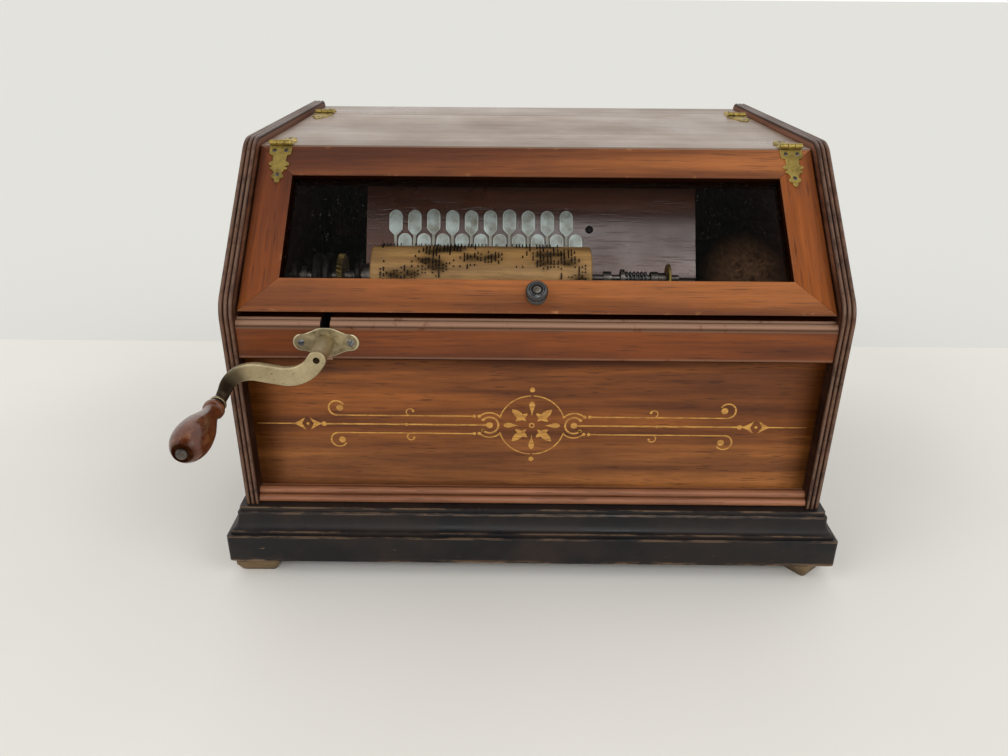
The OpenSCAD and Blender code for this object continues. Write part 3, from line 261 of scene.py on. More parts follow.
def put(name, made, finish, body, swaps=(), bevel=0.0, sharp=38, inner=None):
    """A mesh object of a shape. inner is a second finish, and the direction its faces look in."""
    points, faces, groove, wear = made
    mesh = bpy.data.meshes.new(name)
    places = (points + [0, FRONT, 0]) / 1000
    mesh.from_pydata(places.tolist(), [], [f for rows in faces for f in rows.tolist()])
    for title, values in (("groove", groove), ("wear", wear)):
        mesh.attributes.new(title, "FLOAT", "POINT").data.foreach_set("value", values.astype(np.float32))
    soup = bmesh.new()
    soup.from_mesh(mesh)
    bmesh.ops.recalc_face_normals(soup, faces=soup.faces)
    soup.to_mesh(mesh)
    soup.free()
    mesh.shade_smooth()
    mesh.set_sharp_from_angle(angle=math.radians(sharp))
    mesh.materials.append(finish)
    piece = bpy.data.objects.new(name, mesh)
    bpy.context.collection.objects.link(piece)
    if inner is not None:
        mesh.materials.append(inner[0])
        normals = np.empty(len(mesh.polygons) * 3)
        mesh.polygons.foreach_get("normal", normals)
        facing = normals.reshape(-1, 3) @ np.asarray(inner[1], float) > FACING
        mesh.polygons.foreach_set("material_index", facing.astype(np.int32))
    if bevel:
        ease = piece.modifiers.new("eased_edges", "BEVEL")
        ease.width, ease.segments, ease.harden_normals = bevel / 1000, BEVEL_STEPS, True
        ease.limit_method, ease.angle_limit = "ANGLE", BEVEL_FROM
    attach(piece, body)
    if swaps:
        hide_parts(*swaps)
    print(name, len(points), "points")
    return piece


# %% [markdown]
# ## Finishes
# A finish is a small network of shader nodes. It could be wired by hand in the Shader Editor. These
# helpers add one node each, so that a recipe reads as a few lines. Every pattern reads Object
# coordinates, which are metres on the object, so it stays put when the piece moves.

# %% Node helpers: making and wiring
def srgb(r, g, b):
    """A screen colour, 0 to 255, as light: a power of 2.4, or a straight line near black."""
    c = np.array([r, g, b]) / 255
    return tuple(np.where(c <= 0.04045, c / 12.92, ((c + 0.055) / 1.055) ** 2.4).tolist()) + (1.0,)


def shade(colour, share):
    """The same colour with each channel times share."""
    return tuple(c * share for c in colour[:3]) + (1.0,)


def start(name, slot=None):
    """A new material, its node tree nt and its main shader b. Its slot is only printed."""
    mat = bpy.data.materials.new(name)
    mat.use_nodes = True
    print("finish", name, "in slot", slot)
    return mat, mat.node_tree, mat.node_tree.nodes["Principled BSDF"]


def feed(nt, socket, value):
    """Links a socket to another one, or sets it to a plain value."""
    if isinstance(value, bpy.types.NodeSocket):
        nt.links.new(value, socket)
    else:
        socket.default_value = value


def add(nt, kind, settings=None, **sockets):
    """A node of a kind, with its settings and with its sockets fed by name."""
    node = nt.nodes.new("ShaderNode" + kind)
    for key, value in (settings or {}).items():
        setattr(node, key, value)
    for key, value in sockets.items():
        feed(nt, node.inputs[key.replace("_", " ")], value)
    return node


def fed(nt, kind, settings, sockets, out):
    """A node whose sockets are fed by number or name, and the output that is wanted of it."""
    node = add(nt, kind, settings)
    for key, value in sockets.items():
        feed(nt, node.inputs[key], value)
    return node.outputs[out]


print("middle grey is", srgb(128, 128, 128)[0], "as light")

# %% Node helpers: patterns and sums
def object_place(nt):
    """The point's place on the object, in metres."""
    return add(nt, "TexCoord").outputs["Object"]


def noise(nt, at, scale, detail=4.0, rough=0.55, distort=0.0):
    """Cloudy values near a half, with about scale clouds to a metre."""
    return add(nt, "TexNoise", Vector=at, Scale=scale, Detail=detail, Roughness=rough,
               Distortion=distort).outputs["Fac"]


def ramp(nt, fac, *stops):
    """A colour for each value, blended between stops of place and colour."""
    node = add(nt, "ValToRGB", Fac=fac)
    band = node.color_ramp.elements
    band[0].position, band[0].color = stops[0]
    band[1].position, band[1].color = stops[-1]
    for place, colour in stops[1:-1]:
        band.new(place).color = colour
    return node.outputs["Color"]


def level(nt, fac, lo, hi, out_lo=0.0, out_hi=1.0):
    """A value carried in a straight line from lo..hi to out_lo..out_hi, and held at both ends."""
    return fed(nt, "MapRange", {"clamp": True}, {"Value": fac, "From Min": lo, "From Max": hi,
                                                 "To Min": out_lo, "To Max": out_hi}, "Result")


def math_node(nt, how, a, b):
    """Two values joined by the named sum."""
    return fed(nt, "Math", {"operation": how}, {0: a, 1: b}, 0)


def along_way(nt, place, way):
    """How far a place lies along a way: their dot product."""
    return fed(nt, "VectorMath", {"operation": "DOT_PRODUCT"}, {0: place, 1: way}, "Value")


def blend(nt, fac, a, b, how="MIX"):
    """Colour a, turned by fac into b, or into a times b with MULTIPLY."""
    return fed(nt, "Mix", {"data_type": "RGBA", "blend_type": how}, {0: fac, 6: a, 7: b}, 2)


def mark(nt, title):
    """One of the two marks that the shape carries."""
    return add(nt, "Attribute", {"attribute_name": title}).outputs["Fac"]


def bump(nt, b, height, strength, depth):
    """Tilts the shading as if the surface rose by depth, in metres, where height is one."""
    nt.links.new(add(nt, "Bump", Strength=strength, Distance=depth, Height=height).outputs["Normal"],
                 b.inputs["Normal"])


print("the helpers for patterns, sums and marks are ready")

# %% [markdown]
# ### Wood
# Most of the case is old varnished wood. It could be a photograph wrapped round each board, but a
# pattern runs through the boards at every size. It is noise drawn out along the grain: broad bands,
# fine fibres and short dark pores, with blotches where the varnish has aged. Dirt and painted shade
# lie in corners, near black and without gloss, and edges are rubbed pale. On the door the grain
# follows the slope, so the pattern is turned first.

# %% Wood finish
FIBRE_DARK, FIBRE_LIGHT = (0.45, 0.42, 0.40, 1), (1.25, 1.22, 1.2, 1)


def wood(name, slot, dark, light, along, gloss=0.38, across=70.0, drawn=3.0, pore=0.55, blot=0.35,
         worn=None, worn_at=0.45, dirt_and_shade=0.75, turned=0.0, seed=0.0, figure=(0.35, 0.66), shine=0.3):
    """Colour: bands from dark to light, times the fibres, then pores, blots, worn edges, and grime with
    painted shade in grooves.
    """
    mat, nt, b = start(name, slot)
    at = object_place(nt)
    stretch = [across] * 3
    stretch["XYZ".index(along)] = drawn
    levelled = add(nt, "Mapping", Vector=at, Rotation=(-turned, 0, 0)).outputs[0]
    grain = add(nt, "Mapping", Vector=levelled, Location=(seed, seed * 1.7, seed * 0.6),
                Scale=tuple(stretch)).outputs[0]
    bands = noise(nt, grain, 0.55, 3.0, 0.5, 1.1)
    fibre = noise(nt, grain, 4.5, 5.0, 0.65, 0.2)
    pores = noise(nt, grain, 13.0, 2.0, 0.5)
    blots = noise(nt, at, 11.0, 4.0, 0.6)
    colour = ramp(nt, bands, (figure[0], dark), (figure[1], light))
    colour = blend(nt, 0.55, colour, ramp(nt, fibre, (0.3, FIBRE_DARK), (0.7, FIBRE_LIGHT)), "MULTIPLY")
    colour = blend(nt, level(nt, pores, 0.60, 0.70, 0, pore), colour, shade(dark, 0.3))
    colour = blend(nt, level(nt, blots, 0.50, 0.72, 0, blot), colour, shade(dark, 0.5))
    if worn:
        patchy = level(nt, noise(nt, at, 90.0, 5.0, 0.7), worn_at, worn_at + 0.16)
        colour = blend(nt, math_node(nt, "MULTIPLY", mark(nt, "wear"), patchy), colour, worn)
    # Grooves go near black and lose their gloss: dirt and painted shade.
    dirt_and_shade_share = math_node(nt, "MULTIPLY", mark(nt, "groove"), dirt_and_shade)
    nt.links.new(blend(nt, dirt_and_shade_share, colour, shade(dark, 0.06)), b.inputs["Base Color"])
    nt.links.new(level(nt, mark(nt, "groove"), 0.0, 1.0, shine, 0.0), b.inputs["Specular IOR Level"])
    nt.links.new(level(nt, blots, 0.3, 0.7, gloss - 0.07, gloss + 0.12), b.inputs["Roughness"])
    bump(nt, b, math_node(nt, "SUBTRACT", fibre, level(nt, pores, 0.58, 0.7, 0, 0.8)), 0.25, 0.0004)
    return mat


def darken(mat, way, start_at, full_at, tint):
    """Paints shade: multiplies a wood's colour by tint, from none to all of it, as the distance along a way
    grows.
    """
    nt = mat.node_tree
    colour = nt.nodes["Principled BSDF"].inputs["Base Color"]
    share = level(nt, along_way(nt, object_place(nt), way), start_at, full_at)
    nt.links.new(blend(nt, share, colour.links[0].from_socket, tint + (1.0,), "MULTIPLY"), colour)


print("light fibres are", FIBRE_LIGHT[0] / FIBRE_DARK[0], "times as bright as dark ones")

# %% Mahogany of the sides
side_wood = wood("mahogany_sides", "mahogany", srgb(46, 27, 18), srgb(84, 53, 36), "Y",
                 worn=srgb(108, 80, 62), worn_at=0.38, seed=8.0, dirt_and_shade=0.6)
side_inner = wood("mahogany_inner_face", None, srgb(92, 56, 39), srgb(128, 84, 62), "Y", gloss=0.5, seed=9.0,
                  shine=0.15)
# The inner face darkens downwards from 235 mm to 190 mm: painted shade inside the case.
darken(side_inner, (0, 0, -1), -0.235, -0.19, (0.17, 0.16, 0.16))

# %% [markdown]
# ## Sides
# The side boards end in three beads that follow the whole edge, such as a scratch stock cuts. A
# Bevel could round the edge, but not in three rolls. Here each bead is a half circle across the
# thickness, and the outline shrinks by the bead's depth, with its corners kept as arcs about one centre.

# %% Side boards
BEAD, EASED, FLAT_IN = SIDE_T / 6, 24.0, 1.2
RADII = np.array([EASED, EASED, CORNER_R])
CORNERS = np.array([
    [EASED, BELLY - EASED * (1 - math.sin(SLOPE)) / math.cos(SLOPE)],
    [((CASE_H - EASED - BELLY) * math.cos(SLOPE) + EASED) / math.sin(SLOPE), CASE_H - EASED],
    [CASE_D - CORNER_R, CASE_H - CORNER_R]])
TURNS = np.array([[math.pi, math.pi / 2 + SLOPE], [math.pi / 2 + SLOPE, math.pi / 2], [math.pi / 2, 0.0]])


def side_board(mid):
    """Rings of the outline across the thickness: x from the beads' sines, inset from their cosines."""
    a = np.linspace(-math.pi / 2, math.pi / 2, 9)
    x = (2 * BEAD * np.array([-1, 0, 1])[:, None] + BEAD * np.sin(a)).ravel()
    x = np.concatenate([[x[0]], x, [x[-1]]])
    inset = np.concatenate([[BEAD + FLAT_IN], np.tile(BEAD * (1 - np.cos(a)), 3), [BEAD + FLAT_IN]])[:, None]
    # The valleys between the beads take dirt and painted shade, and the thin pale lines on their crests are
    # wear and a painted highlight.
    dirt_and_shade = np.concatenate([[0], np.tile(np.abs(np.sin(a)) ** 4, 3), [0]])
    rub = np.concatenate([[0], np.tile(np.cos(a) ** 8, 3), [0]])
    steps = TURNS[:, :1] + (TURNS[:, 1:] - TURNS[:, :1]) * np.linspace(0, 1, 15)
    r = (RADII - inset)[..., None]
    y = (CORNERS[:, 0, None] + r * np.cos(steps)).reshape(len(x), -1)
    z = (CORNERS[:, 1, None] + r * np.sin(steps)).reshape(len(x), -1)
    y = np.concatenate([inset, y, CASE_D - inset], 1)
    z = np.pad(z, ((0, 0), (1, 1)), constant_values=BASE_TOP)
    points = np.stack([np.broadcast_to(mid + x[:, None], y.shape), y, z], -1)
    return skin(points, dirt_and_shade[:, None], rub[:, None])


for side, sign in (("left", -1), ("right", 1)):
    put("organ_side_" + side, side_board(sign * (CASE_W / 2 - SIDE_T / 2)), side_wood, "case",
        ("side_" + side,), inner=(side_inner, (-sign, 0, 0)))

# %% [markdown]
# ### Black stain
# The base was stained black to look like ebony, and has rubbed through to tan in chips. A second
# colour could be painted on by hand. Here noise drawn out along the length picks the chips, and the
# wear mark says where they may be, so the low edges lose their stain first.

# %% Black stain finish
def black_stain(name, slot, base, rubbed, gloss=0.32, shine=0.2, faded=None):
    """Colour: base clouded towards faded, with rubbed wood in chips on worn edges and in rare specks."""
    mat, nt, b = start(name, slot)
    at = object_place(nt)
    drawn = add(nt, "Mapping", Vector=at, Scale=(9.0, 60.0, 60.0)).outputs[0]
    chips = noise(nt, drawn, 3.0, 6.0, 0.7)
    specks = noise(nt, drawn, 9.0, 3.0, 0.6)
    cloud = noise(nt, at, 25.0, 5.0, 0.6)
    colour = blend(nt, level(nt, cloud, 0.4, 0.75), base, faded or shade(base, 1.8))
    rub = math_node(nt, "MULTIPLY", mark(nt, "wear"), level(nt, chips, 0.47, 0.57))
    colour = blend(nt, rub, colour, rubbed)
    colour = blend(nt, level(nt, specks, 0.72, 0.76, 0, 0.8), colour, rubbed)
    nt.links.new(colour, b.inputs["Base Color"])
    b.inputs["Specular IOR Level"].default_value = shine
    nt.links.new(level(nt, cloud, 0.3, 0.7, gloss, gloss + 0.22), b.inputs["Roughness"])
    bump(nt, b, chips, 0.25, 0.0006)
    return mat


ebony = black_stain("ebonised_base", "ebonised_wood", srgb(25, 24, 25), srgb(118, 94, 72), 0.28, 0.20,
                    srgb(45, 35, 30))
# Near black for the inside of the case: a painted shade where the case is dark inside.
inside_shade_black = black_stain("inside_shade_black", None, srgb(17, 15, 14), srgb(30, 24, 20), 0.7)

# %% [markdown]
# ## Base
# The base moulding has a flat face, a step, a hollow cove and a stepped cap, and is mitred at the
# front. One section could be extruded three times and cut. Here it is carried round the three sides
# in one go, each corner a small arc, because knocks have worn the mitres round.

# %% Base moulding
FACE_TOP, STEP, BASE_IN, WORN_R = FOOT_H + 23, 2.6, 22.0, 2.6
COVE_DEEP, COVE_HIGH = 5.0, 10.9
CHIP_H = 3.0
a = np.linspace(math.pi / 2, 0, 16)
cove = np.stack([PROJ - 3.0 - COVE_DEEP * np.cos(a), BASE_TOP - 6.2 - COVE_HIGH * np.sin(a)], -1)
base_section = np.concatenate([
    [[-BASE_IN, FOOT_H], [PROJ - 0.8, FOOT_H], [PROJ, FOOT_H + 0.8], [PROJ, FACE_TOP - 0.8],
     [PROJ - 0.8, FACE_TOP], [PROJ - STEP, FACE_TOP], [PROJ - STEP, FACE_TOP + 2.6]], cove,
    [[6.0, BASE_TOP - 4.6], [5.2, BASE_TOP - 3.5], [4.4, BASE_TOP - 3.3], [4.4, BASE_TOP - 0.5],
     [3.9, BASE_TOP], [-BASE_IN, BASE_TOP]]])
base_cut = dense(base_section, 0.6)


def base_run():
    """The section along the left end, the front and the right end: each corner a quarter circle."""
    out, high = base_cut.T
    t = np.linspace(0, math.pi / 2, 7)[:, None]
    round_x = CASE_W / 2 + out - WORN_R + WORN_R * np.sin(t)
    round_y = -out + WORN_R - WORN_R * np.cos(t)
    back_y = np.full((1, len(out)), CASE_D)
    x = np.concatenate([-round_x[-1:], -round_x[::-1], round_x, round_x[-1:]])
    y = np.concatenate([back_y, round_y[::-1], round_y, back_y])
    dirt_and_shade, edge = corner_marks(base_cut, base_section)
    low_edge = np.clip(1.2 - (high - FOOT_H) / CHIP_H, 0, 1) * (out > PROJ - 1)
    rub = np.tile(np.maximum(0.6 * edge ** 6, low_edge), (len(x), 1))
    rub[[0, -1]] = 0
    return skin(np.stack([x, y, np.broadcast_to(high, x.shape)], -1), dirt_and_shade, rub)


INSET_X = CASE_W / 2 - BASE_IN - 0.1
back_length = block((-INSET_X, CASE_D - BASE_IN, FOOT_H), (INSET_X, CASE_D, BASE_TOP))
put("organ_base", merge(base_run(), remark(back_length, wear=0.0)), ebony, "case", ("plinth_mouldings",))

# %% [markdown]
# The feet are square pads with their lower half cut in. A scaled cube with a Bevel would do. Rings of
# a rounded square are used, so that the one that was knocked round can be turned by an angle.

# %% Feet
FOOT_INSET, KNOCKED = 19.5, 0.7
FOOT_HALF = np.array([14.2, 15.0, 17.4, 18.0, 18.0])
FOOT_HIGH = np.array([0.0, 0.8, 5.2, 6.4, FOOT_H])
foot_wood = wood("foot_wood", "ebonised_wood", srgb(58, 46, 32), srgb(112, 92, 64), "X", gloss=0.6, seed=19.0)


def foot(x, y, turned=0.0):
    """Rings of a rounded square, turned by an angle, each times the half width at its height."""
    c, s = math.cos(turned), math.sin(turned)
    size = 0.81 if turned else 0.93
    ring = size * rounded([[-1, -1], [1, -1], [1, 1], [-1, 1]], 0.22) @ np.array([[c, s], [-s, c]])
    flat = FOOT_HALF[:, None, None] * ring
    high = np.broadcast_to(FOOT_HIGH[:, None, None], flat.shape[:2] + (1,))
    return skin(np.concatenate([flat + [x, y], high], -1), 0, 0.6)


FOOT_X, FOOT_Y = CASE_W / 2 + PROJ - FOOT_INSET, (-PROJ + FOOT_INSET, CASE_D - FOOT_INSET)
put("organ_feet", merge(*[foot(x, y, KNOCKED if x > 0 and y < FOOT_Y[1] else 0.0)
                          for x in (-FOOT_X, FOOT_X) for y in FOOT_Y]), foot_wood, "case", ("feet",))

# %% [markdown]
# ## Front panel
# The panel is a thin walnut board, dark at its ends and where it meets the mouldings, with grime and
# painted shade. A plain box with painted shadows would do. Here the box has a few more columns and rows
# of points, and each carries its own share of grime and painted shade, so that both fade inwards as they
# do behind real mouldings.

# %% Front panel
PANEL_SET, PANEL_T = 12.0, 7.0
RAIL_SET, RAIL_D, RAIL_H, SLOT_R = 2.4, 19.6, 31.4, 3.4
RAIL_LOW = RAIL_TOP - RAIL_H
panel_wood = wood("walnut_panel", "walnut", srgb(110, 64, 32), srgb(182, 116, 60), "X", across=75, drawn=4.5,
                  pore=0.6, blot=0.3, gloss=0.46, seed=11.0)
# The panel darkens towards the top, under the rail: painted shade, since the pale floor lights its lower
# part.
darken(panel_wood, (0, 0, 1), (BASE_TOP + 30) / 1000, (BASE_TOP + 62) / 1000, (0.70, 0.58, 0.40))
# Grime and painted shade at the panel's ends and along the mouldings above and below.
columns = np.array([-INNER, -202, -195, -184, -165, 165, 184, 195, 202, INNER])
column_grime_and_shade = np.array([1, 1, 0.85, 0.35, 0, 0, 0.25, 0.6, 0.95, 1])
front_z = (BASE_TOP, BASE_TOP + 6, BASE_TOP + 16, RAIL_LOW - 14, RAIL_LOW - 5, RAIL_LOW)
rows = np.array([[PANEL_SET, z] for z in front_z]
                + [[PANEL_SET + PANEL_T, z] for z in (RAIL_LOW, BASE_TOP)])
row_grime_and_shade = np.array([0, 0.8, 0.2, 0.05, 0.5, 0.95, 0, 0])
panel = columns[:, None, None] * X + rows @ np.stack([Y, Z])
put("organ_panel", skin(panel, np.maximum(column_grime_and_shade[:, None], row_grime_and_shade)), panel_wood, "case",
    ("front_panel",))

# %% [markdown]
# ## Front mouldings
# A double bead runs along the panel's foot. Above it lies a rail with an ovolo and a thin bead, and
# a slot that the crankshaft drops into. A Boolean could cut the slot. Two lengths of the section and
# a piece below the slot with a round bottom give the same form with clean faces.

# %% Lower moulding
moulding_wood = wood("mahogany_moulding", "mahogany", srgb(104, 62, 40), srgb(156, 104, 74), "X",
                     worn=srgb(138, 94, 70), seed=6.0, dirt_and_shade=0.6)
low_section = np.concatenate([
    [[PANEL_SET, BASE_TOP]], arc(4.8, BASE_TOP + 3, 3, 270, 90, 14), [[5.6, BASE_TOP + 6]],
    arc(8.4, BASE_TOP + 7.8, 3, 190, 62, 12), [[PANEL_SET, BASE_TOP + 10.6]]])
put("organ_lower_moulding", prism(dense(low_section), -INNER, INNER, corners=low_section),
    moulding_wood, "case", ("lower_moulding",))

# %% Front rail
rail_wood = wood("mahogany_rail", "mahogany", srgb(80, 35, 8), srgb(124, 63, 19), "X",
                 worn=srgb(146, 112, 90), worn_at=0.28, seed=5.0, dirt_and_shade=0.7)
FACE, BEAD_END = RAIL_LOW + RAIL_H - 7.2, 7.6
a = np.linspace(0, 1.3, 10)
rail_section = np.concatenate([
    [[RAIL_SET + RAIL_D, RAIL_LOW], [RAIL_SET + 0.8, RAIL_LOW], [RAIL_SET, RAIL_LOW + 0.8],
     [RAIL_SET, FACE - 0.3], [RAIL_SET + 0.5, FACE - 0.3]],
    np.stack([RAIL_SET + 5.0 - 4.5 * np.cos(a), FACE + 3.6 * np.sin(a)], -1), [[RAIL_SET + 5.0, FACE + 2.6]],
    arc(RAIL_SET + 6.7, FACE + 3.2, 1.5, 200, 60, 8),
    [[RAIL_SET + 8.2, FACE + 4.2], [RAIL_SET + RAIL_D, FACE + 4.2]]])
rail_cut = dense(rail_section, 0.6)
deep, high = rail_cut[:, 0] - RAIL_SET, rail_cut[:, 1]
# Painted shade with some grime: on the top behind the bead, under the door, and along the rail's low edge.
behind = np.maximum(np.clip((deep - BEAD_END) / 0.8, 0, 1), np.clip((RAIL_LOW + 1.8 - high) / 1.2, 0, 1))
# Pale where the ovolo and bead turn up towards the light: wear and a painted highlight.
pale = np.where((high > FACE + 0.3) & (rail_cut[:, 0] < RAIL_SET + BEAD_END),
                np.interp(deep, [0.5, 1.2, 4.0, 4.6, 5.4, 6.2], [0.4, 1, 1, 0.2, 0.2, 0.9]), 0)
# Each rail length's end face at the slot takes the inside black, a painted shade.
for side, sign, lo, hi in (("left", 1, -INNER, CRANK_X - SLOT_R), ("right", -1, CRANK_X + SLOT_R, INNER)):
    length = prism(rail_cut, lo, hi, corners=rail_section, soot_and_shade=behind)
    length = remark(length, wear=np.maximum(length[3], np.tile(pale, 2)))
    put("organ_rail_" + side, length, rail_wood, "case", (), inner=(inside_shade_black, (sign, 0, 0)))
under_slot = np.concatenate([[[-SLOT_R, RAIL_LOW], [SLOT_R, RAIL_LOW]],
                             arc(0, CRANK_Z, SLOT_R, 0, -180, 16)])
slot_foot = prism(under_slot, RAIL_SET, RAIL_SET + RAIL_D, (CRANK_X, 0, 0), X, Z, Y)
put("organ_rail_slot_foot", slot_foot, rail_wood, "case", ("front_rail",))

# %% [markdown]
# ## Gold ornament
# The panel carries a line ornament of a common kind, laid on through a stencil: a rosette in a circle,
# scrolls, three long lines and a pointed flower at each end. A picture could be projected on the wood.
# Strokes are drawn instead as ribbons a hair in front of it, because they stay sharp from close by.
# Each half is drawn once and mirrored.

# %% Gold finish and pen strokes
STENCIL_Y, LAYER, ROSE_X, ROSE_Z = PANEL_SET - 0.06, 0.01, -1.3, 118.0
gold, nt, b = start("gold_stencil")
streaky = add(nt, "Mapping", Vector=object_place(nt), Scale=(40.0, 200.0, 200.0)).outputs[0]
rubbed = noise(nt, streaky, 4.0, 5.0, 0.6)
nt.links.new(ramp(nt, rubbed, (0.36, srgb(150, 102, 44)), (0.6, srgb(200, 148, 68))), b.inputs["Base Color"])
b.inputs["Roughness"].default_value = 0.45
b.inputs["Metallic"].default_value = 0.25


def stroke(left, right):
    """A strip of quads between two rows of points."""
    return np.stack([left, right], 1).reshape(-1, 2), grid_faces(len(left), 2)


def ribbon(path, width):
    """A flat stroke along a path in x and z: half the width to each side of its direction."""
    along = unit(np.gradient(path, axis=0))
    off = np.stack([-along[:, 1], along[:, 0]], -1) * np.broadcast_to(width, len(path))[:, None] / 2
    return stroke(path + off, path - off)


def leaf(x, z, length, width, angle, fat=1.0):
    """A drop from a point outwards at an angle: its width is a sine of the run to the power fat."""
    t = np.linspace(0, 1, 17)
    half = width / 2 * np.sin(math.pi * t ** fat) ** 0.8
    d = ray(math.radians(angle))
    path = np.array([x, z]) + t[:, None] * length * d
    off = half[:, None] * np.array([-d[1], d[0]])
    return stroke(path + off, path - off)


def dot(x, z, r):
    """A filled circle of 24 points."""
    return arc(x, z, r, 0, 345, 23), np.arange(24)[None]


def line(x0, x1, z, w0, w1):
    """A level stroke from x0 to x1 whose width runs evenly from w0 to w1."""
    t = np.linspace(0, 1, 9)
    return ribbon(np.stack([x0 + (x1 - x0) * t, np.full(9, float(z))], -1), w0 + (w1 - w0) * t)


def fish_tail(x, sign, way):
    """Half of a fish tail: the strip between an outer curve and the edge of the diamond inside."""
    run = x + sign * np.array([-10.4, -8.6, -7.2, -6.0, -5.2, -4.3, -3.4, -2.6, -1.8])
    outer = way * np.array([0.3, 0.9, 1.6, 2.3, 2.8, 3.4, 4.0, 4.5, 5.0])
    inner = way * np.array([0.0, 0.0, 0.0, 0.0, 0.0, 0.0, 1.7, 3.3, 4.7])
    flat, faces = stroke(np.stack([run, outer], -1), np.stack([run, inner], -1))
    return flat, faces if sign * way > 0 else faces[:, ::-1]


# %% Stencil on the front panel
SCROLL_X, FLOWER_X = -31.0, -164.6
half_strokes = [
    dot(SCROLL_X, 0, 2.5), ribbon(arc(SCROLL_X, 0, 6.5, 142, -142, 30), 1.4),
    ribbon(arc(SCROLL_X, 0, 10.2, 130, 38, 24), 1.1), ribbon(arc(SCROLL_X, 0, 10.2, -130, -38, 24), 1.1),
    line(SCROLL_X, -151, 0, 1.25, 1.25), dot(-92, 0, 1.2), dot(-152.6, 0, 1.9),
    *[fish_tail(FLOWER_X, sign, way) for sign in (1, -1) for way in (1, -1)],
    dot(FLOWER_X, 0, 1.1), line(-174, -202, 0, 1.2, 0.15), leaf(-8.7, 0, 12.2, 4.2, 180, 2.2)]
for way in (1, -1):
    half_strokes += [
        dot(-42.2, 7.2 * way, 1.3), dot(-38.6, 7.2 * way, 1.3), dot(-35.7, 4.5 * way, 1.3),
        line(-42.2, -142.5, 7.3 * way, 0.95, 0.95),
        ribbon(arc(-142.5, 13.1 * way, 5.8, 270 * way, 30 * way, 30), 1.25), dot(-140.2, 13.2 * way, 2.5),
        ribbon(arc(-89, 10.2 * way, 2.8, 250 * way, 20 * way, 16), 0.9), dot(-86.8, 11.2 * way, 1.0),
        leaf(-3.9, 3.2 * way, 14.6, 5.2, 137 * way, 1.2), leaf(-8.0, 5.9 * way, 6.4, 3.4, 40 * way, 0.75),
        leaf(-6.8, 7.0 * way, 6.4, 3.4, 215 * way, 0.75),
        ribbon(arc(0, 0, 24.2, 92 * way, 163 * way, 24), 1.0)]
middle_strokes = [
    leaf(0, 7.0, 13.2, 4.2, 90, 2.2), leaf(0, -7.2, 13.0, 4.2, 270, 2.2),
    ribbon(arc(0, 0, 1.7, 0, 360, 24), 1.0), dot(0, 29.0, 1.9), dot(0, -28.4, 1.9)]


def on_panel(layer, drawn, mirror=1):
    """A stroke set on the panel, mirrored or not. Layers a hair apart keep crossing strokes from meeting."""
    flat, faces = drawn
    y = np.full(len(flat), STENCIL_Y - LAYER * (layer % 9))
    points = np.stack([ROSE_X + mirror * flat[:, 0], y, ROSE_Z + flat[:, 1]], -1)
    return shape(points, [faces if mirror > 0 else faces[:, ::-1]])


both_halves = [on_panel(i, drawn, m) for i, drawn in enumerate(half_strokes) for m in (1, -1)]
middle = [on_panel(i, drawn) for i, drawn in enumerate(middle_strokes)]
put("organ_stencil", merge(*both_halves, *middle), gold, "case")

# %% [markdown]
# ## Lid, strip and back
# The lid is a plain board, bevelled at its front edge to half the slope, so that it meets the door in
# an even joint. Its outline is carried across. The strip behind it and the back panel are boxes, and
# a Bevel modifier eases their edges, which is the quickest way where all edges are alike.

# %% Lid, fixed strip, back panel
lid_wood = wood("lid_wood", "lid_wood", srgb(120, 98, 80), srgb(150, 130, 113), "X", across=55, drawn=2.2,
                gloss=0.32, blot=0.2, pore=0.4, seed=14.0)
back_wood = wood("back_panel_wood", "walnut", srgb(74, 44, 26), srgb(128, 82, 50), "X", gloss=0.55, seed=17.0)
# Dark brown for the back panel's inner face: painted shade inside the case.
inside_shade_brown = wood("inside_shade_brown", None, srgb(34, 22, 15), srgb(56, 36, 24), "Z", gloss=0.6, seed=16.0,
                    shine=0.1)
BACK_T, LID_LOW, LID_FRONT = 8.0, LID_Z - LID_T, CORNER_Y + JOINT_GAP
lid_section = rounded([[LID_FRONT, LID_Z], [LID_FRONT + LID_T * math.tan(SLOPE / 2), LID_LOW],
                       [LID_BACK, LID_LOW], [LID_BACK, LID_Z]], [1.4, 0.8, 0.8, 1.0])
# The lid's underside takes the inside black, a painted shade.
put("organ_lid", prism(dense(lid_section, 4.0), -DOOR_HALF, DOOR_HALF, corners=lid_section), lid_wood, "lid",
    ("lid_board",), inner=(inside_shade_black, (0, 0, -1)))
put("organ_strip", block((-INNER, LID_BACK + 2 * JOINT_GAP, LID_LOW), (INNER, CASE_D - BACK_SET, LID_Z)),
    lid_wood, "case", ("top_strip",), bevel=0.8)
put("organ_back", block((-INNER, CASE_D - BACK_SET - BACK_T, BASE_TOP), (INNER, CASE_D - BACK_SET, LID_LOW)),
    back_wood, "case", ("back_panel",), bevel=0.5, inner=(inside_shade_brown, (0, -1, 0)))

# %% [markdown]
# ## Door
# Four members of one section are mitred into a frame, with a groove for the glass on the inner edge.
# The lower edge is cut level and the upper one to half the slope. Boolean cuts could make the mitres.
# Here each point of a section simply runs as far as its mitre lets it, so no cut is needed.

# %% Mahogany of the door
TAN = srgb(172, 116, 70)
door_wood_x = wood("mahogany_across", "mahogany", srgb(100, 54, 26), srgb(155, 93, 48), "X", worn=TAN,
                   worn_at=0.58, gloss=0.40, dirt_and_shade=0.97)
door_wood_s = wood("mahogany_up_slope", "mahogany", srgb(98, 46, 14), srgb(152, 82, 28), "Y", worn=TAN,
                   worn_at=0.58, turned=SLOPE, seed=3.0, dirt_and_shade=0.97)
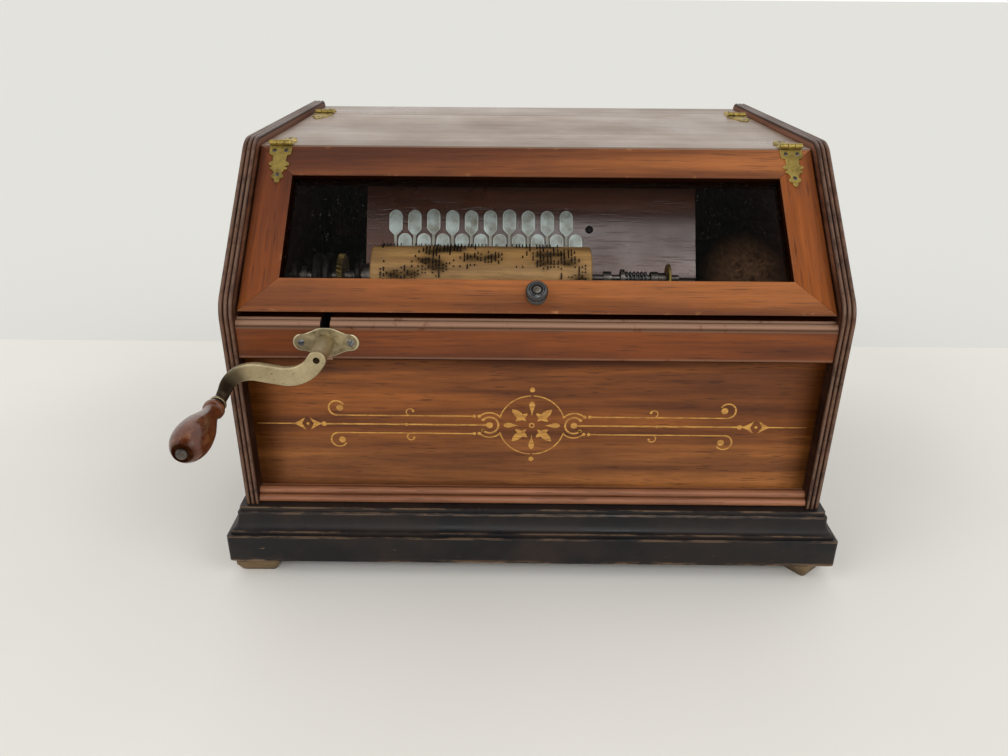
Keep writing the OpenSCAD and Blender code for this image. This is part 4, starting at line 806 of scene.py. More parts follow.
# The door darkens towards its top and its left side: painted shade.
for shaded_door_wood in (door_wood_x, door_wood_s):
    darken(shaded_door_wood, (-0.5, 0, 1), 0.25, 0.38, (0.60, 0.50, 0.54))

# %% Section of a door member
GLASS_H, GLASS_T, SEAT, SLACK, EASE, MITRE_GAP, SHADED_EDGE = -8.0, 2.5, 5.0, 0.2, 0.7, 0.25, 6.0
DOOR_FOOT = np.array([0, DOOR_SET, DOOR_Z])
DOOR_HEAD = DOOR_FOOT + DOOR_L * UP_SLOPE
LEVEL_CUT, HALF_CUT = math.tan(SLOPE), math.tan(SLOPE / 2)


def member(high, low):
    """The section from its outer edge inwards: the outer face runs from high on top to low below."""
    top, under, floor_x = GLASS_H + GLASS_T + SLACK, GLASS_H - SLACK, MEMBER - SEAT - SLACK
    return np.array([[low, -DOOR_T], [high, -EASE], [high + EASE, 0], [MEMBER - 0.5, 0], [MEMBER, -0.5],
                     [MEMBER, top], [floor_x, top], [floor_x, under], [MEMBER, under], [MEMBER, -DOOR_T]])


def inner_edge_shade(cut, elsewhere):
    """Full painted shade on the inner edge below the top face, and what is given elsewhere."""
    return np.where((cut[:, 0] > MEMBER - SHADED_EDGE) & (cut[:, 1] < -0.6), 1.0, elsewhere)


print("a door member has", len(member(0, 0)), "corners and", len(dense(member(0, 0))), "points")

# %% Door rails and stiles
rails, stiles = [], []
for origin, u, outline in ((DOOR_FOOT, UP_SLOPE, member(0, DOOR_T / LEVEL_CUT)),
                           (DOOR_HEAD, -UP_SLOPE, member(JOINT_GAP, JOINT_GAP + DOOR_T * HALF_CUT))):
    cut = dense(outline)
    mitre = DOOR_HALF - cut[:, 0] - MITRE_GAP
    rails.append(prism(cut, -mitre, mitre, origin, u, OFF_SLOPE, X, outline, inner_edge_shade(cut, 0.0)))
put("organ_door_rails", merge(*rails), door_wood_x, "door", ("door_frame",))
outline = member(0, 0)
cut = dense(outline)
low = np.maximum(cut[:, 0], -cut[:, 1] / LEVEL_CUT)
high = DOOR_L - np.maximum(cut[:, 0], JOINT_GAP - cut[:, 1] * HALF_CUT)
# Grime fades in from the outer edge. The inner edge, and the outer end face against the side board, are
# painted shade.
soot_and_shade = inner_edge_shade(cut, 0.55 * np.clip(1 - cut[:, 0] / 8, 0, 1))
soot_and_shade = np.where((cut[:, 0] < 0.5) & (cut[:, 1] < -0.3), 1.0, soot_and_shade)
for sign in (-1, 1):
    stiles.append(prism(cut, low, high, DOOR_FOOT + sign * DOOR_HALF * X, -sign * X, OFF_SLOPE, UP_SLOPE,
                        outline, soot_and_shade))
put("organ_door_stiles", merge(*stiles), door_wood_s, "door")

# %% [markdown]
# ### Glass
# The pane is old and dusty. Real glass both mirrors and lets through, so a clear shader is mixed with
# a mirror by the Fresnel law: more mirror where the light grazes. Blender's Glass shader would bend
# the light and grow noisy. Fine specks of dust lie over both, and one brown patch that is dust and a painted
# pool of light.

# %% Glass finish
def mix_shaders(nt, fac, first, second):
    """Two shaders as one: fac says how much of the second shows."""
    return fed(nt, "MixShader", None, {0: fac, 1: first, 2: second}, 0)


glass, nt, b = start("door_glass_clear", "glass")
b.inputs["Base Color"].default_value = (0.9, 0.92, 0.91, 1)
b.inputs["Metallic"].default_value = 1.0
at = object_place(nt)
nt.links.new(level(nt, noise(nt, at, 14.0, 4.0, 0.6), 0.35, 0.7, 0.02, 0.10), b.inputs["Roughness"])
pane_mix = mix_shaders(nt, add(nt, "Fresnel", IOR=1.30).outputs[0], add(nt, "BsdfTransparent").outputs[0],
                       b.outputs[0])
# A round brown patch on the pane: dust and a painted pool of light, drawn as dense brown specks.
round_patch = add(nt, "Mapping", {"vector_type": "TEXTURE"}, Vector=at, Scale=(0.034, 0.05, 0.034),
                  Location=(0.147, 0.03 + FRONT / 1000, 0.226)).outputs[0]
fading = add(nt, "TexGradient", {"gradient_type": "SPHERICAL"}, Vector=round_patch).outputs["Fac"]
patch_dust_and_glow = level(nt, fading, 0.05, 0.75, 0.0, 0.07)
dust_and_glow_colour = blend(nt, level(nt, patch_dust_and_glow, 0.0, 0.002), srgb(196, 190, 180), srgb(146, 108, 80))
crumbs = level(nt, noise(nt, at, 260.0, 5.0, 0.75), 0.35, 0.65, 0.1, 1.9)
grit = level(nt, noise(nt, at, 900.0, 2.0, 0.5), 0.64, 0.78, 0.0, 0.10)
specks = math_node(nt, "ADD", grit, math_node(nt, "MULTIPLY", patch_dust_and_glow, crumbs))
dust_and_glow_mix = mix_shaders(nt, specks, pane_mix, add(nt, "BsdfDiffuse", Color=dust_and_glow_colour).outputs[0])
nt.links.new(dust_and_glow_mix, nt.nodes["Material Output"].inputs["Surface"])

# %% Pane
inset = MEMBER - SEAT
GLASS_TOP, GLASS_HALF = GLASS_H + GLASS_T, DOOR_HALF - inset
pane = [[inset, GLASS_H], [DOOR_L - inset, GLASS_H], [DOOR_L - inset, GLASS_TOP], [inset, GLASS_TOP]]
put("organ_glass", prism(pane, -GLASS_HALF, GLASS_HALF, DOOR_FOOT, UP_SLOPE, OFF_SLOPE, X), glass, "door",
    ("door_glass",))

# %% [markdown]
# ### Turnings and metal
# The knob is turned from black wood with a steel stud in its hollow. Blender's Spin would turn a
# drawn edge. The same is done with arrays: a row of radii and runs goes round an axis. All metals
# share one recipe: a clean colour, a tarnished one in cloudy patches, and dark spots.

# %% Lathe
def lathe(profile, origin, axis, segs=48, groove=0.0, wear=0.0):
    """Rows of radius and run turned once round an axis: the run along it, the radius times a ring."""
    p = np.asarray(profile, float)
    axis = unit(axis)
    side = unit(np.cross(axis, [0.31, 0.52, 0.79]))
    ring = ray(np.linspace(0, 2 * math.pi, segs, endpoint=False)) @ np.stack([side, np.cross(axis, side)])
    points = np.asarray(origin, float) + p[:, 0, None, None] * ring + p[:, 1, None, None] * axis
    return skin(points, np.broadcast_to(groove, len(p))[:, None], np.broadcast_to(wear, len(p))[:, None])


print("a cone of 48 sides has", len(lathe([[1, 0], [0.1, 1]], (0, 0, 0), Z)[0]), "points")

# %% Metal finish
def metal(name, slot, clean, tarnish, gloss=0.3, patch=60.0, amount=0.6, metallic=1.0, rubbed=None):
    """Colour: clean, turned to tarnish by clouds plus spots or by grooves, and rubbed bright by wear."""
    mat, nt, b = start(name, slot)
    at = object_place(nt)
    cloud = noise(nt, at, patch, 6.0, 0.65)
    spots = noise(nt, at, patch * 6, 3.0, 0.5)
    fac = math_node(nt, "ADD", level(nt, cloud, 0.42, 0.68, 0, amount), level(nt, spots, 0.62, 0.72, 0, 0.4))
    fac = math_node(nt, "MAXIMUM", fac, mark(nt, "groove"))
    colour = blend(nt, level(nt, fac, 0, 1), clean, tarnish)
    if rubbed:
        colour = blend(nt, mark(nt, "wear"), colour, rubbed)
    nt.links.new(colour, b.inputs["Base Color"])
    b.inputs["Metallic"].default_value = metallic
    nt.links.new(level(nt, cloud, 0.3, 0.75, gloss, gloss + 0.25), b.inputs["Roughness"])
    bump(nt, b, spots, 0.12, 0.0003)
    return mat


dark_steel = metal("dark_steel", "steel", srgb(104, 98, 92), srgb(44, 38, 34), 0.35, 120, 0.8)

# %% Knob
knob_black = black_stain("knob_black", "ebonised_wood", srgb(22, 21, 22), srgb(70, 60, 52), 0.12, 0.7)
KNOB_AT = DOOR_FOOT + MEMBER / 2 * UP_SLOPE
knob = np.concatenate([
    [[6.6, 0], [7.0, 0.7], [6.4, 1.6], [5.0, 2.2], [4.8, 3.4]], arc(4.2, 6.9, 3.6, -70, 70, 14),
    [[5.2, 10.3], [4.9, 9.9], [4.2, 10.2], [3.8, 9.8], [3.6, 9.4], [0.05, 9.2]]])
put("organ_knob", lathe(knob, KNOB_AT, OFF_SLOPE), knob_black, "door", ("door_knob",))
put("organ_knob_stud", lathe([[2.9, 9.0], [2.8, 9.8], [1.9, 10.4], [0.05, 10.6]], KNOB_AT, OFF_SLOPE, 32),
    dark_steel, "door")

# %% [markdown]
# ## Hinges
# Each brass leaf was stamped with a row of round lobes that shrink towards a point. The outline could
# be traced with a curve. Here its half width at each distance from the pin is the widest of the lobes
# and of a tapering spine, so one formula serves all eight leaves. Knuckles interlock on a pin.

# %% Hinge leaves
brass = metal("old_brass", "brass", srgb(174, 152, 84), srgb(96, 80, 44), 0.40, 90, 0.8)
LEAF_W, LEAF_L, LIFT, LEAF_T = 16.4, 35.0, 2.2, 1.0
# Each lobe: its place along the leaf, its half length and its reach, as shares, and how square it is.
LOBES = np.array([[0.0, 0.30, 1.0, 8], [0.515, 0.07, 0.92, 2.5], [0.63, 0.05, 0.77, 2.5],
                  [0.83, 0.07, 0.54, 2.5], [0.91, 0.09, 0.24, 2]])
SPINE = ((0, 0.36, 0.66, 0.73, 0.85, 1), (0.8, 0.6, 0.56, 0.36, 0.3, 0.02))


def leaf_half_width(v):
    """Half the leaf's width at a distance from the pin: the widest of its round lobes and its spine."""
    t = v[:, None] / LEAF_L
    place, half_long, reach, square = LOBES.T
    lobes = reach * np.clip(1 - np.abs((t - place) / half_long) ** square, 0, 1) ** (1 / square)
    return LEAF_W / 2 * np.maximum(lobes.max(1), np.interp(t[:, 0], *SPINE))


def knuckle(at, out, off, lo, hi):
    """A tube on the pin from lo to hi, and the tab that joins it to its leaf."""
    tab = [[0.2, -LIFT], [2.8, -LIFT], [2.8, -LIFT + LEAF_T], [0.2, -LIFT + LEAF_T]]
    tube = [[1.05, lo], [1.8, lo], [2.0, lo + 0.2], [2.0, hi - 0.2], [1.8, hi], [1.05, hi]]
    return [lathe(tube, at, X, 28), prism(tab, lo, hi, at, out, off, X)]


def hinge_leaf(at, out, off, outer):
    """A leaf that runs out from a pin at a point along X, with off up from its board: three rings."""
    v = np.linspace(2.4, LEAF_L, 120)
    half = leaf_half_width(v)
    half[0] = half[1]
    eased = np.clip(half - 0.3, 0.05, None)
    edge, top = np.concatenate([half, -half[::-1]]), np.concatenate([eased, -eased[::-1]])
    run = np.concatenate([v, v[::-1]])[:, None]
    rings = [(edge, -LIFT), (edge, -LIFT + 0.7), (top, -LIFT + LEAF_T)]
    parts = [skin(np.stack([at + x[:, None] * X + run * out + h * off for x, h in rings]))]
    end, third = LEAF_W / 2, LEAF_W / 6
    if not outer:
        return merge(*parts, *knuckle(at, out, off, -third + 0.3, third - 0.3))
    pin = lathe([[0.95, -end - 0.1], [1.0, -end], [1.0, end], [0.95, end + 0.1]], at, X, 20)
    return merge(*parts, *knuckle(at, out, off, -end, -third), *knuckle(at, out, off, third, end), pin)


print("a leaf is", 2 * leaf_half_width(np.array([5.0, 18.0, 30.0])), "wide along its length")

# %% [markdown]
# Three screws hold each leaf. A slot could be cut with a Boolean. A thin dark bar that lies just
# proud of the dome reads as a slot at this size and leaves the dome whole.

# %% Screws
def screw(at, off, r=2.1, high=0.5, turned=0.4):
    """A domed head, its height a sine of its run, and a dark bar across it for the slot."""
    off = unit(off)
    side = unit(np.cross(off, [0.21, 0.4, 0.6]))
    along = math.cos(turned) * side + math.sin(turned) * np.cross(off, side)
    a = 1.35 * np.linspace(0, 1, 6)
    dome = np.stack([r * np.cos(a), high * np.sin(a) / math.sin(1.35)], -1)
    head = lathe(np.concatenate([[[r, -0.3]], dome, [[0.05, high * 1.01]]]), at, off, 24)
    bar = [[-r * 0.86, high * 0.55], [r * 0.86, high * 0.55], [r * 0.8, high * 1.04], [-r * 0.8, high * 1.04]]
    return head, remark(prism(bar, -0.27, 0.27, at, along, off, np.cross(off, along)), 1.0, 0.0)


SCREW_PLACES = ((-4.3, 6.2, 0.3), (4.3, 6.2, 1.2), (0, LEAF_L - 7.5, 2.2))


def leaf_screws(at, out, off):
    """Two screws side by side near the pin and one near the tip, each turned its own way."""
    return merge(*[part for x, v, turned in SCREW_PLACES
                   for part in screw(at + x * X + v * out + (-LIFT + 0.9) * off, off, 1.7, 0.5, turned)])


print("a screw has", sum(len(part[0]) for part in screw((0, 0, 0), Z)), "points")

# %% Hinges in place
REAR_AXIS = np.array([0, LID_BACK + JOINT_GAP, LID_Z + LIFT])
FRONT_AXIS = np.array([0, CORNER_Y - LIFT * math.tan(SLOPE / 2), LID_Z + LIFT])
REAR_X, FRONT_X = (-194, 194), (-189, 189)
rear = [(REAR_AXIS + x * X, Y, Z, True) for x in REAR_X]
rear_lid = [(REAR_AXIS + x * X, -Y, Z, False) for x in REAR_X]
front_lid = [(FRONT_AXIS + x * X, Y, Z, True) for x in FRONT_X]
front_door = [(FRONT_AXIS + x * X, -UP_SLOPE, OFF_SLOPE, False) for x in FRONT_X]
for name, leaves, body, node in (("organ_rear_hinges", rear, "case", "rear_hinge_leaves"),
                                 ("organ_lid_hinges", rear_lid + front_lid, "lid", "lid_hinge_leaves"),
                                 ("organ_door_hinges", front_door, "door", "door_hinge_leaves")):
    put(name, merge(*[hinge_leaf(*where) for where in leaves]), brass, body, (node,))
    put(name + "_screws", merge(*[leaf_screws(*where[:3]) for where in leaves]), dark_steel, body)

# %% [markdown]
# ## Crank arm
# The arm is a flat plated bar that bends twice in its plane, then narrows, goes round and turns
# towards the player. A curve with a bevel keeps one section. Here the section is a superellipse that
# changes along the way: nearly a rectangle at the eye, a circle at the neck.

# %% Way of the crank arm
PLATE_T, CRANK_GAP, SOCKET, ARM_T = 1.0, 0.3, 26.0, 4.5
ARM_Y0 = RAIL_SET - PLATE_T - CRANK_GAP - SOCKET - ARM_T
ARM_MID = ARM_Y0 + ARM_T / 2
R1, R2, STRAIGHT, BEND, EYE_REACH = 23.2, 22.0, 15.0, 8.0, 5.6
JOINT, LAST_TURN = math.radians(-100), math.radians(155)
C1 = np.array([-20.5, R1 - 12.3])
C2 = C1 + (R1 + R2) * ray(JOINT) + STRAIGHT * ray(JOINT - math.pi / 2)
a1 = np.linspace(math.atan2(-C1[1], -C1[0]) - EYE_REACH / R1, JOINT, 22)
a2 = np.linspace(JOINT + math.pi, LAST_TURN, 26)
bend = np.linspace(0, math.pi / 2, 12)[1:]
heading = np.concatenate([a1 - math.pi / 2, a2 + math.pi / 2, np.full(len(bend), a2[-1] + math.pi / 2)])
in_plane = np.concatenate([C1 + R1 * ray(a1), C2 + R2 * ray(a2)])
in_plane = np.concatenate([in_plane, in_plane[-1] + BEND * np.sin(bend)[:, None] * ray(heading[-1])])
arm_y = np.full(len(in_plane), ARM_MID)
arm_y[-len(bend):] = ARM_MID - BEND * (1 - np.cos(bend))
arm_path = np.stack([in_plane[:, 0], arm_y, in_plane[:, 1]], -1)
HANDLE_AT = CRANK + [in_plane[-1, 0], 0, in_plane[-1, 1]]
print("the arm ends at", HANDLE_AT)

# %% Arm finish, sweeps and bored plates
arm_plate = metal("worn_arm_plate", "dull_plate", srgb(186, 170, 134), srgb(52, 42, 32), 0.34, 55, 0.3, 1.0,
                  srgb(210, 196, 160))


def sweep(path, section, side, lift):
    """A closed section, one for all or one per point, carried along a path: its x by side, its y by lift."""
    return skin(path[:, None] + section[..., :1] * side[:, None] + section[..., 1:] * lift[:, None])


def bored_plate(at, across, up, axis, bore, head, foot_far, thick, ease=0.4):
    """A bored strip with a round head: its edge lies at the head's radius, or at the strip's side or foot."""
    a = np.linspace(0, 2 * math.pi, 72, endpoint=False)
    c, s = np.cos(a), np.sin(a)
    below = np.minimum(head / np.maximum(np.abs(c), 1e-6), foot_far / np.maximum(-s, 1e-6))
    reach = np.where(s > 0, head, below)
    rim = np.stack([c, s], -1) @ np.stack([across, up])
    rings = [(bore, 0.0), (reach - ease, 0.0), (reach, ease),
             (reach, thick - ease), (reach - ease, thick), (bore, thick)]
    points = np.concatenate([at + rim * np.broadcast_to(r, 72)[:, None] + h * axis for r, h in rings])
    return shape(points, [grid_faces(6, 72, True, True)])


print("a bored plate has", len(bored_plate(CRANK, X, Z, Y, 1.0, 2.0, 3.0, 1.0)[0]), "points")

# %% Crank arm
t = np.linspace(0, 1, len(arm_path))
half_w = np.interp(t, [0, 0.1, 0.3, 0.55, 0.82, 1.0], [6.1, 6.4, 6.7, 5.6, 4.5, 3.8])[:, None]
half_t = np.interp(t, [0, 0.6, 0.82, 1.0], [2.25, 2.25, 3.2, 3.7])[:, None]
power = np.interp(t, [0, 0.6, 0.85], [9.0, 7.0, 2.0])[:, None]
c, s = ray(np.linspace(0, 2 * math.pi, 40, endpoint=False)).T
arm_section = np.stack([half_w * np.sign(c) * np.abs(c) ** (2 / power),
                        half_t * np.sign(s) * np.abs(s) ** (2 / power)], -1)
side_way = np.stack([-np.sin(heading), np.zeros(len(heading)), np.cos(heading)], -1)
lift_way = unit(np.cross(side_way, unit(np.gradient(arm_path, axis=0))))
patina = np.repeat(np.interp(t, [0.46, 0.58, 0.72], [0, 0.7, 1.0]), 40)
arm = remark(sweep(arm_path + CRANK, arm_section, side_way, lift_way), groove=patina)
print("the arm is", 2 * half_w.max(), "wide at most")

# %% Eye and socket of the arm
eye_turn = a1[0] + EYE_REACH / 2 / R1 - math.pi / 2
down = np.array([math.cos(eye_turn), 0, math.sin(eye_turn)])
EYE_AT, SOCKET_END = CRANK + [0, ARM_Y0, 0], ARM_T + SOCKET
arm_eye = bored_plate(EYE_AT, np.cross(Y, down), -down, Y, 2.3, 6.1, 6.2, ARM_T)
socket_edge = [[2.3, 4.3], [5.2, 4.3], [5.2, ARM_T + 0.5], [5.9, ARM_T + 0.6], [5.9, SOCKET_END - 0.4],
               [5.5, SOCKET_END], [3.1, SOCKET_END], [3.1, ARM_T + 1]]
arm_socket = lathe(socket_edge, EYE_AT, Y, 40, [1, 1, 1, 0, 0, 0.5, 1, 1], [0, 0, 0, 0.6, 0, 0, 0, 0])
put("organ_crank_arm", merge(arm, arm_eye, arm_socket), arm_plate, "crank", ("crank_arm",))

# %% [markdown]
# ## Handle
# At the arm's end an iron neck with a bright collar carries a spindle, riveted over at the player's
# end. The handle is a turned pear shape with a bead at its neck, free to spin. All are turnings, so
# the same lathe serves: only the rows of radius and run differ.

# %% Neck, collar and rivet
dark_iron = metal("dark_iron", "black_iron", srgb(46, 43, 40), srgb(20, 18, 16), 0.45, 80, 0.8)
plate = metal("worn_nickel", "dull_plate", srgb(160, 146, 114), srgb(66, 54, 40), 0.36, 110, 0.9, 1.0,
              srgb(196, 184, 152))
NECK_Y, NECK_L, GRIP = ARM_MID - BEND, 6.0, 59.0
NECK_AT, HANDLE_TOP = HANDLE_AT + [0, NECK_Y, 0], HANDLE_AT + [0, NECK_Y - NECK_L - 0.3, 0]
neck_edge = [[3.7, 0.6], [5.0, 0.2], [5.4, -0.6], [5.4, -5.2], [5.0, -NECK_L], [3.0, -NECK_L]]
collar_edge = [[5.2, 0.2], [5.75, -0.2], [5.75, -2.2], [5.2, -2.6]]
rivet_edge = np.array([[2.95, GRIP], [2.95, -0.1], [3.6, -0.3], [3.6, -0.8], [3.3, -1.5], [2.7, -2.1],
                       [1.8, -2.5], [0.9, -2.7], [0.05, -2.75]]) - [0, GRIP]
put("organ_crank_neck", lathe(neck_edge, NECK_AT, Y, 40), dark_iron, "crank")
put("organ_crank_collar", lathe(collar_edge, NECK_AT, Y, 40), plate, "crank")
put("organ_crank_rivet", lathe(rivet_edge, HANDLE_TOP, Y, 32), dark_steel, "crank")

# %% Crank handle
handle_wood = wood("handle_wood", "handle_wood", srgb(60, 28, 13), srgb(98, 50, 27), "Y", across=60, drawn=4,
                   gloss=0.14, pore=0.15, blot=0.1, worn=srgb(150, 100, 66), worn_at=0.5, seed=30.0,
                   shine=0.5, figure=(0.15, 0.9))
SPINDLE_R = 3.06
run = np.concatenate([[0, 0, 0.6, 1.8, 3.8, 5.0, 5.6, 6.6], np.linspace(8, GRIP - 2, 40),
                      [GRIP - 0.8, GRIP - 0.2, GRIP, GRIP - 0.6, GRIP - 0.6]])
PEAR = np.array([[0, 3.1], [0.001, 5.6], [0.6, 6.6], [1.8, 7.1], [3.8, 7.0], [5.0, 6.4], [5.6, 5.8],
                 [6.6, 5.5], [11, 5.7], [16, 6.7], [23, 8.8], [30, 10.7], [36, 11.6], [41, 12.0],
                 [46, 11.8], [51, 10.8], [55, 9.1], [57.5, 7.4], [GRIP, 5.9]])
grip = np.interp(run, *PEAR.T)
grip[0] = SPINDLE_R
grip[-4:] = [6.2, 5.4, 4.8, SPINDLE_R]
smooth = grip.copy()
smooth[9:-6] = (grip[8:-7] + 2 * grip[9:-6] + grip[10:-5]) / 4
end_dirt = np.interp(np.arange(len(run)), [len(run) - 7, len(run) - 4], [0, 1.0])
handle_dirt = np.maximum(end_dirt, np.interp(run, [5.0, 5.8, 6.6], [0, 0.35, 0]))
handle_rub = np.interp(run, [0, 3, 6, 40, 54], [0.5, 0.9, 0.1, 0.2, 0.6])
handle = lathe(np.stack([smooth, -run], -1), HANDLE_TOP, Y, 56, handle_dirt, handle_rub)
put("organ_handle", handle, handle_wood, "handle", ("crank_handle",))

# %% [markdown]
# ## Plate round the crankshaft
# A nickel lozenge with swayed edges covers the slot. Its half height falls from the middle to the
# round ends as a cosine does, which a traced curve would only come near. Its rings shrink and rise
# to a low dome, its rim is rubbed bright, and a screw holds each end.

# %% Plate round the crankshaft
steel = metal("oiled_steel", "steel", srgb(120, 122, 124), srgb(52, 50, 48), 0.3, 120, 0.7)
BIG, SMALL, APART = 10.6, 6.2, 16.6
run = np.linspace(0, APART, 26)
rise = SMALL + (BIG - SMALL) * (1 + np.cos(math.pi * np.clip((run - 2) / 14.6, 0, 1))) / 2
quarter = np.concatenate([np.stack([run, rise], -1), arc(APART, 0, SMALL, 90, 0, 12)[1:]])
back_again = quarter[::-1]
lozenge = np.concatenate([quarter, back_again[1:] * [1, -1],
                          quarter[1:] * [-1, -1], back_again[1:-1] * [-1, 1]])
rows = [(1.0, 0.0), (1.0, 0.8), (0.965, 1.15), (0.93, 1.15), (0.72, 1.25), (0.45, 1.75)]
rim_wear = np.array([0, 0.5, 1, 0, 0, 0])[:, None]
flat = lozenge @ np.stack([X, Z])
domed = np.stack([CRANK + share * flat + (RAIL_SET - h) * Y for share, h in rows])
put("organ_crank_plate", skin(domed, 0, rim_wear), plate, "case", ("escutcheon",))
plate_screws = [part for x, turned in ((-17, 0.5), (17, 1.4))
                for part in screw(CRANK + [x, 1.4, 0], -Y, 2.6, 0.9, turned)]
put("organ_crank_plate_screws", merge(*plate_screws), steel, "case")

# %% [markdown]
# ## Roller
# The roller is bare wood studded with pins and flat bridges, in tracks under the keys. Each pin is a
# small four-sided post. An Array of copies would make an even pattern, and a tune is uneven: clusters
# of pins are set out here by chance from a fixed seed, so it plays nothing known. The wood is stained
# where the pins crowd.

# %% Roller
roller_wood = wood("roller_wood", "roller_wood", srgb(140, 104, 62), srgb(202, 158, 96), "X", across=90,
                   drawn=8, gloss=0.5, pore=0.35, blot=0.85, seed=24.0, dirt_and_shade=0.9)
ROLL_X, ROLL_LEN, ROLL_R = -121.0, 163.0, 23.0
PINS, CLUSTERS, STEP_ANGLE = 1500, 64, 0.05
chance = np.random.default_rng(7)
tracks = np.sort([KEY_MID + (i - 9.5) * KEY_PITCH + d for i in range(KEYS) for d in (-2.3, 0.0, 2.3)])
spots = np.stack([chance.uniform(tracks[0], tracks[-1], CLUSTERS),
                  chance.uniform(0, 2 * math.pi, CLUSTERS)], -1)
each = chance.integers(0, CLUSTERS, PINS)
wanted = spots[each, 0] + chance.normal(0, 6.0, PINS)
track = tracks[np.abs(tracks[:, None] - wanted).argmin(0)]
angle = np.round((spots[each, 1] + chance.normal(0, 0.13, PINS)) / STEP_ANGLE) * STEP_ANGLE
long = np.where(chance.random(PINS) < 0.08, chance.uniform(1.6, 3.4, PINS), 0.9) / ROLL_R
edge = np.concatenate([
    [[4.05, 0]], arc(ROLL_R - 2, 2, 2, -90, 0, 6),
    np.stack([np.full(110, ROLL_R), np.linspace(3, ROLL_LEN - 3, 110)], -1),
    arc(ROLL_R - 2, ROLL_LEN - 2, 2, 0, 90, 6), [[2.65, ROLL_LEN]]])
roller = lathe(edge, AXIS + ROLL_X * X, X, 128)
x, y, z = roller[0].T
round_by = np.arctan2(y - DRIVE_Y, z - DRIVE_Z)[:, None]
apart = np.abs((round_by - spots[:, 1] + math.pi) % (2 * math.pi) - math.pi)
stain = np.exp(-((x[:, None] - spots[:, 0]) / 6.5) ** 2 - (apart / 0.15) ** 2).sum(-1)
put("organ_roller", remark(roller, groove=np.clip(1.1 * stain, 0, 0.92)), roller_wood, "drive", ("roller",))

# %% Roller pins
pin_black = metal("pin_black", "pin_steel", srgb(40, 36, 32), srgb(18, 16, 14), 0.5, 200, 0.6)


def pins(track, angle, long, high=1.8, half=0.42, sunk=0.4):
    """Posts that stand on the roller: x, angle and radius of eight corners each, all at once."""
    x = track[:, None] + half * np.array([-1, 1, 1, -1, -1, 1, 1, -1])
    a = angle[:, None] + np.array([-0.5, -0.5, 0.5, 0.5, -0.5, -0.5, 0.5, 0.5]) * long[:, None]
    r = np.array([-sunk] * 4 + [high] * 4) + ROLL_R
    points = np.stack([x, DRIVE_Y + r * np.sin(a), DRIVE_Z + r * np.cos(a)], -1).reshape(-1, 3)
    quads = np.array([[0, 3, 2, 1], [4, 5, 6, 7], [0, 1, 5, 4], [1, 2, 6, 5], [2, 3, 7, 6], [3, 0, 4, 7]])
    return shape(points, [(quads[None] + 8 * np.arange(len(track))[:, None, None]).reshape(-1, 4)])


put("organ_roller_pins", pins(track, angle, long), pin_black, "drive", ("roller_pins",), sharp=30)

# %% [markdown]
# ## Worm wheel and bearings
# The wheel's thirty teeth lie on a worm, so they lean a little across the rim. A tooth could be
# modelled and arrayed. Here six radii repeat round the rim, and the two faces are turned against each
# other. The arbors turn in plates that stand on the deck, each a strip with a round head and a bore.

# %% Worm wheel
dull_brass = metal("dull_brass", "brass", srgb(128, 108, 62), srgb(54, 44, 28), 0.4, 90, 0.8)
TEETH, WHEEL_BORE, WEB_R, WHEEL_HALF, LEAN_ACROSS = 30, 4.1, 12.0, 2.0, 0.05
a = np.linspace(0, 2 * math.pi, 6 * TEETH, endpoint=False)
tooth = np.tile([14.5, 14.5, 15.8, 16.7, 16.7, 15.8], TEETH)
WHEEL_RINGS = [(WHEEL_BORE, -1, 0.0), (WEB_R, -1, 0.0), (tooth, -1, -LEAN_ACROSS),
               (tooth, 1, LEAN_ACROSS), (WEB_R, 1, 0.0), (WHEEL_BORE, 1, 0.0)]
points = np.concatenate([
    AXIS + (CRANK_X + face * WHEEL_HALF) * X
    + np.broadcast_to(r, len(a))[:, None] * (ray(a + turned) @ np.stack([Y, Z]))
    for r, face, turned in WHEEL_RINGS])
wheel_dirt = np.repeat([0.4, 0.8, 0.0, 0.0, 0.8, 0.4], len(a))
put("organ_worm_wheel", shape(points, [grid_faces(6, len(a), True, True)], wheel_dirt), dull_brass, "drive",
    ("worm_wheel",))

# %% Bearing plates
PLATE_R, DRIVE_UP, TAIL_X = 11.0, DRIVE_Z - DECK_Z, ROLL_X + ROLL_LEN + 57
dark_plates = [bored_plate(AXIS + x * X, Y, Z, X, 4.1, PLATE_R, DRIVE_UP, 4.0)
               for x in (CRANK_X - 36.25, CRANK_X + 10.38)]
dark_plates.append(bored_plate(CRANK + 191.0 * Y, X, Z, Y, 3.1, PLATE_R, CRANK_Z - DECK_Z, 4.0))
put("organ_bearings", merge(*dark_plates), dark_iron, "case", ("bearing_brackets",))
tail_plate = bored_plate(AXIS + (TAIL_X + 1.0) * X, Y, Z, X, 2.7, PLATE_R, DRIVE_UP, 2.0)
put("organ_tail_bearing", tail_plate, brass, "case")
boss_edge = [[2.7, 0], [4.6, 0], [5.0, 0.4], [5.0, 5.6], [4.2, 6.2], [4.2, 11.4], [2.7, 11.4]]
put("organ_tail_boss", lathe(boss_edge, AXIS + (TAIL_X - 11.5) * X, X, 32), dark_steel, "case")

# %% [markdown]
# ## Tail spring
# A round wire wound as a helix pushes the tail arbor into the roller's end. A Screw modifier could
# wind it. The helix is written out instead, with a short straight wire at both ends.

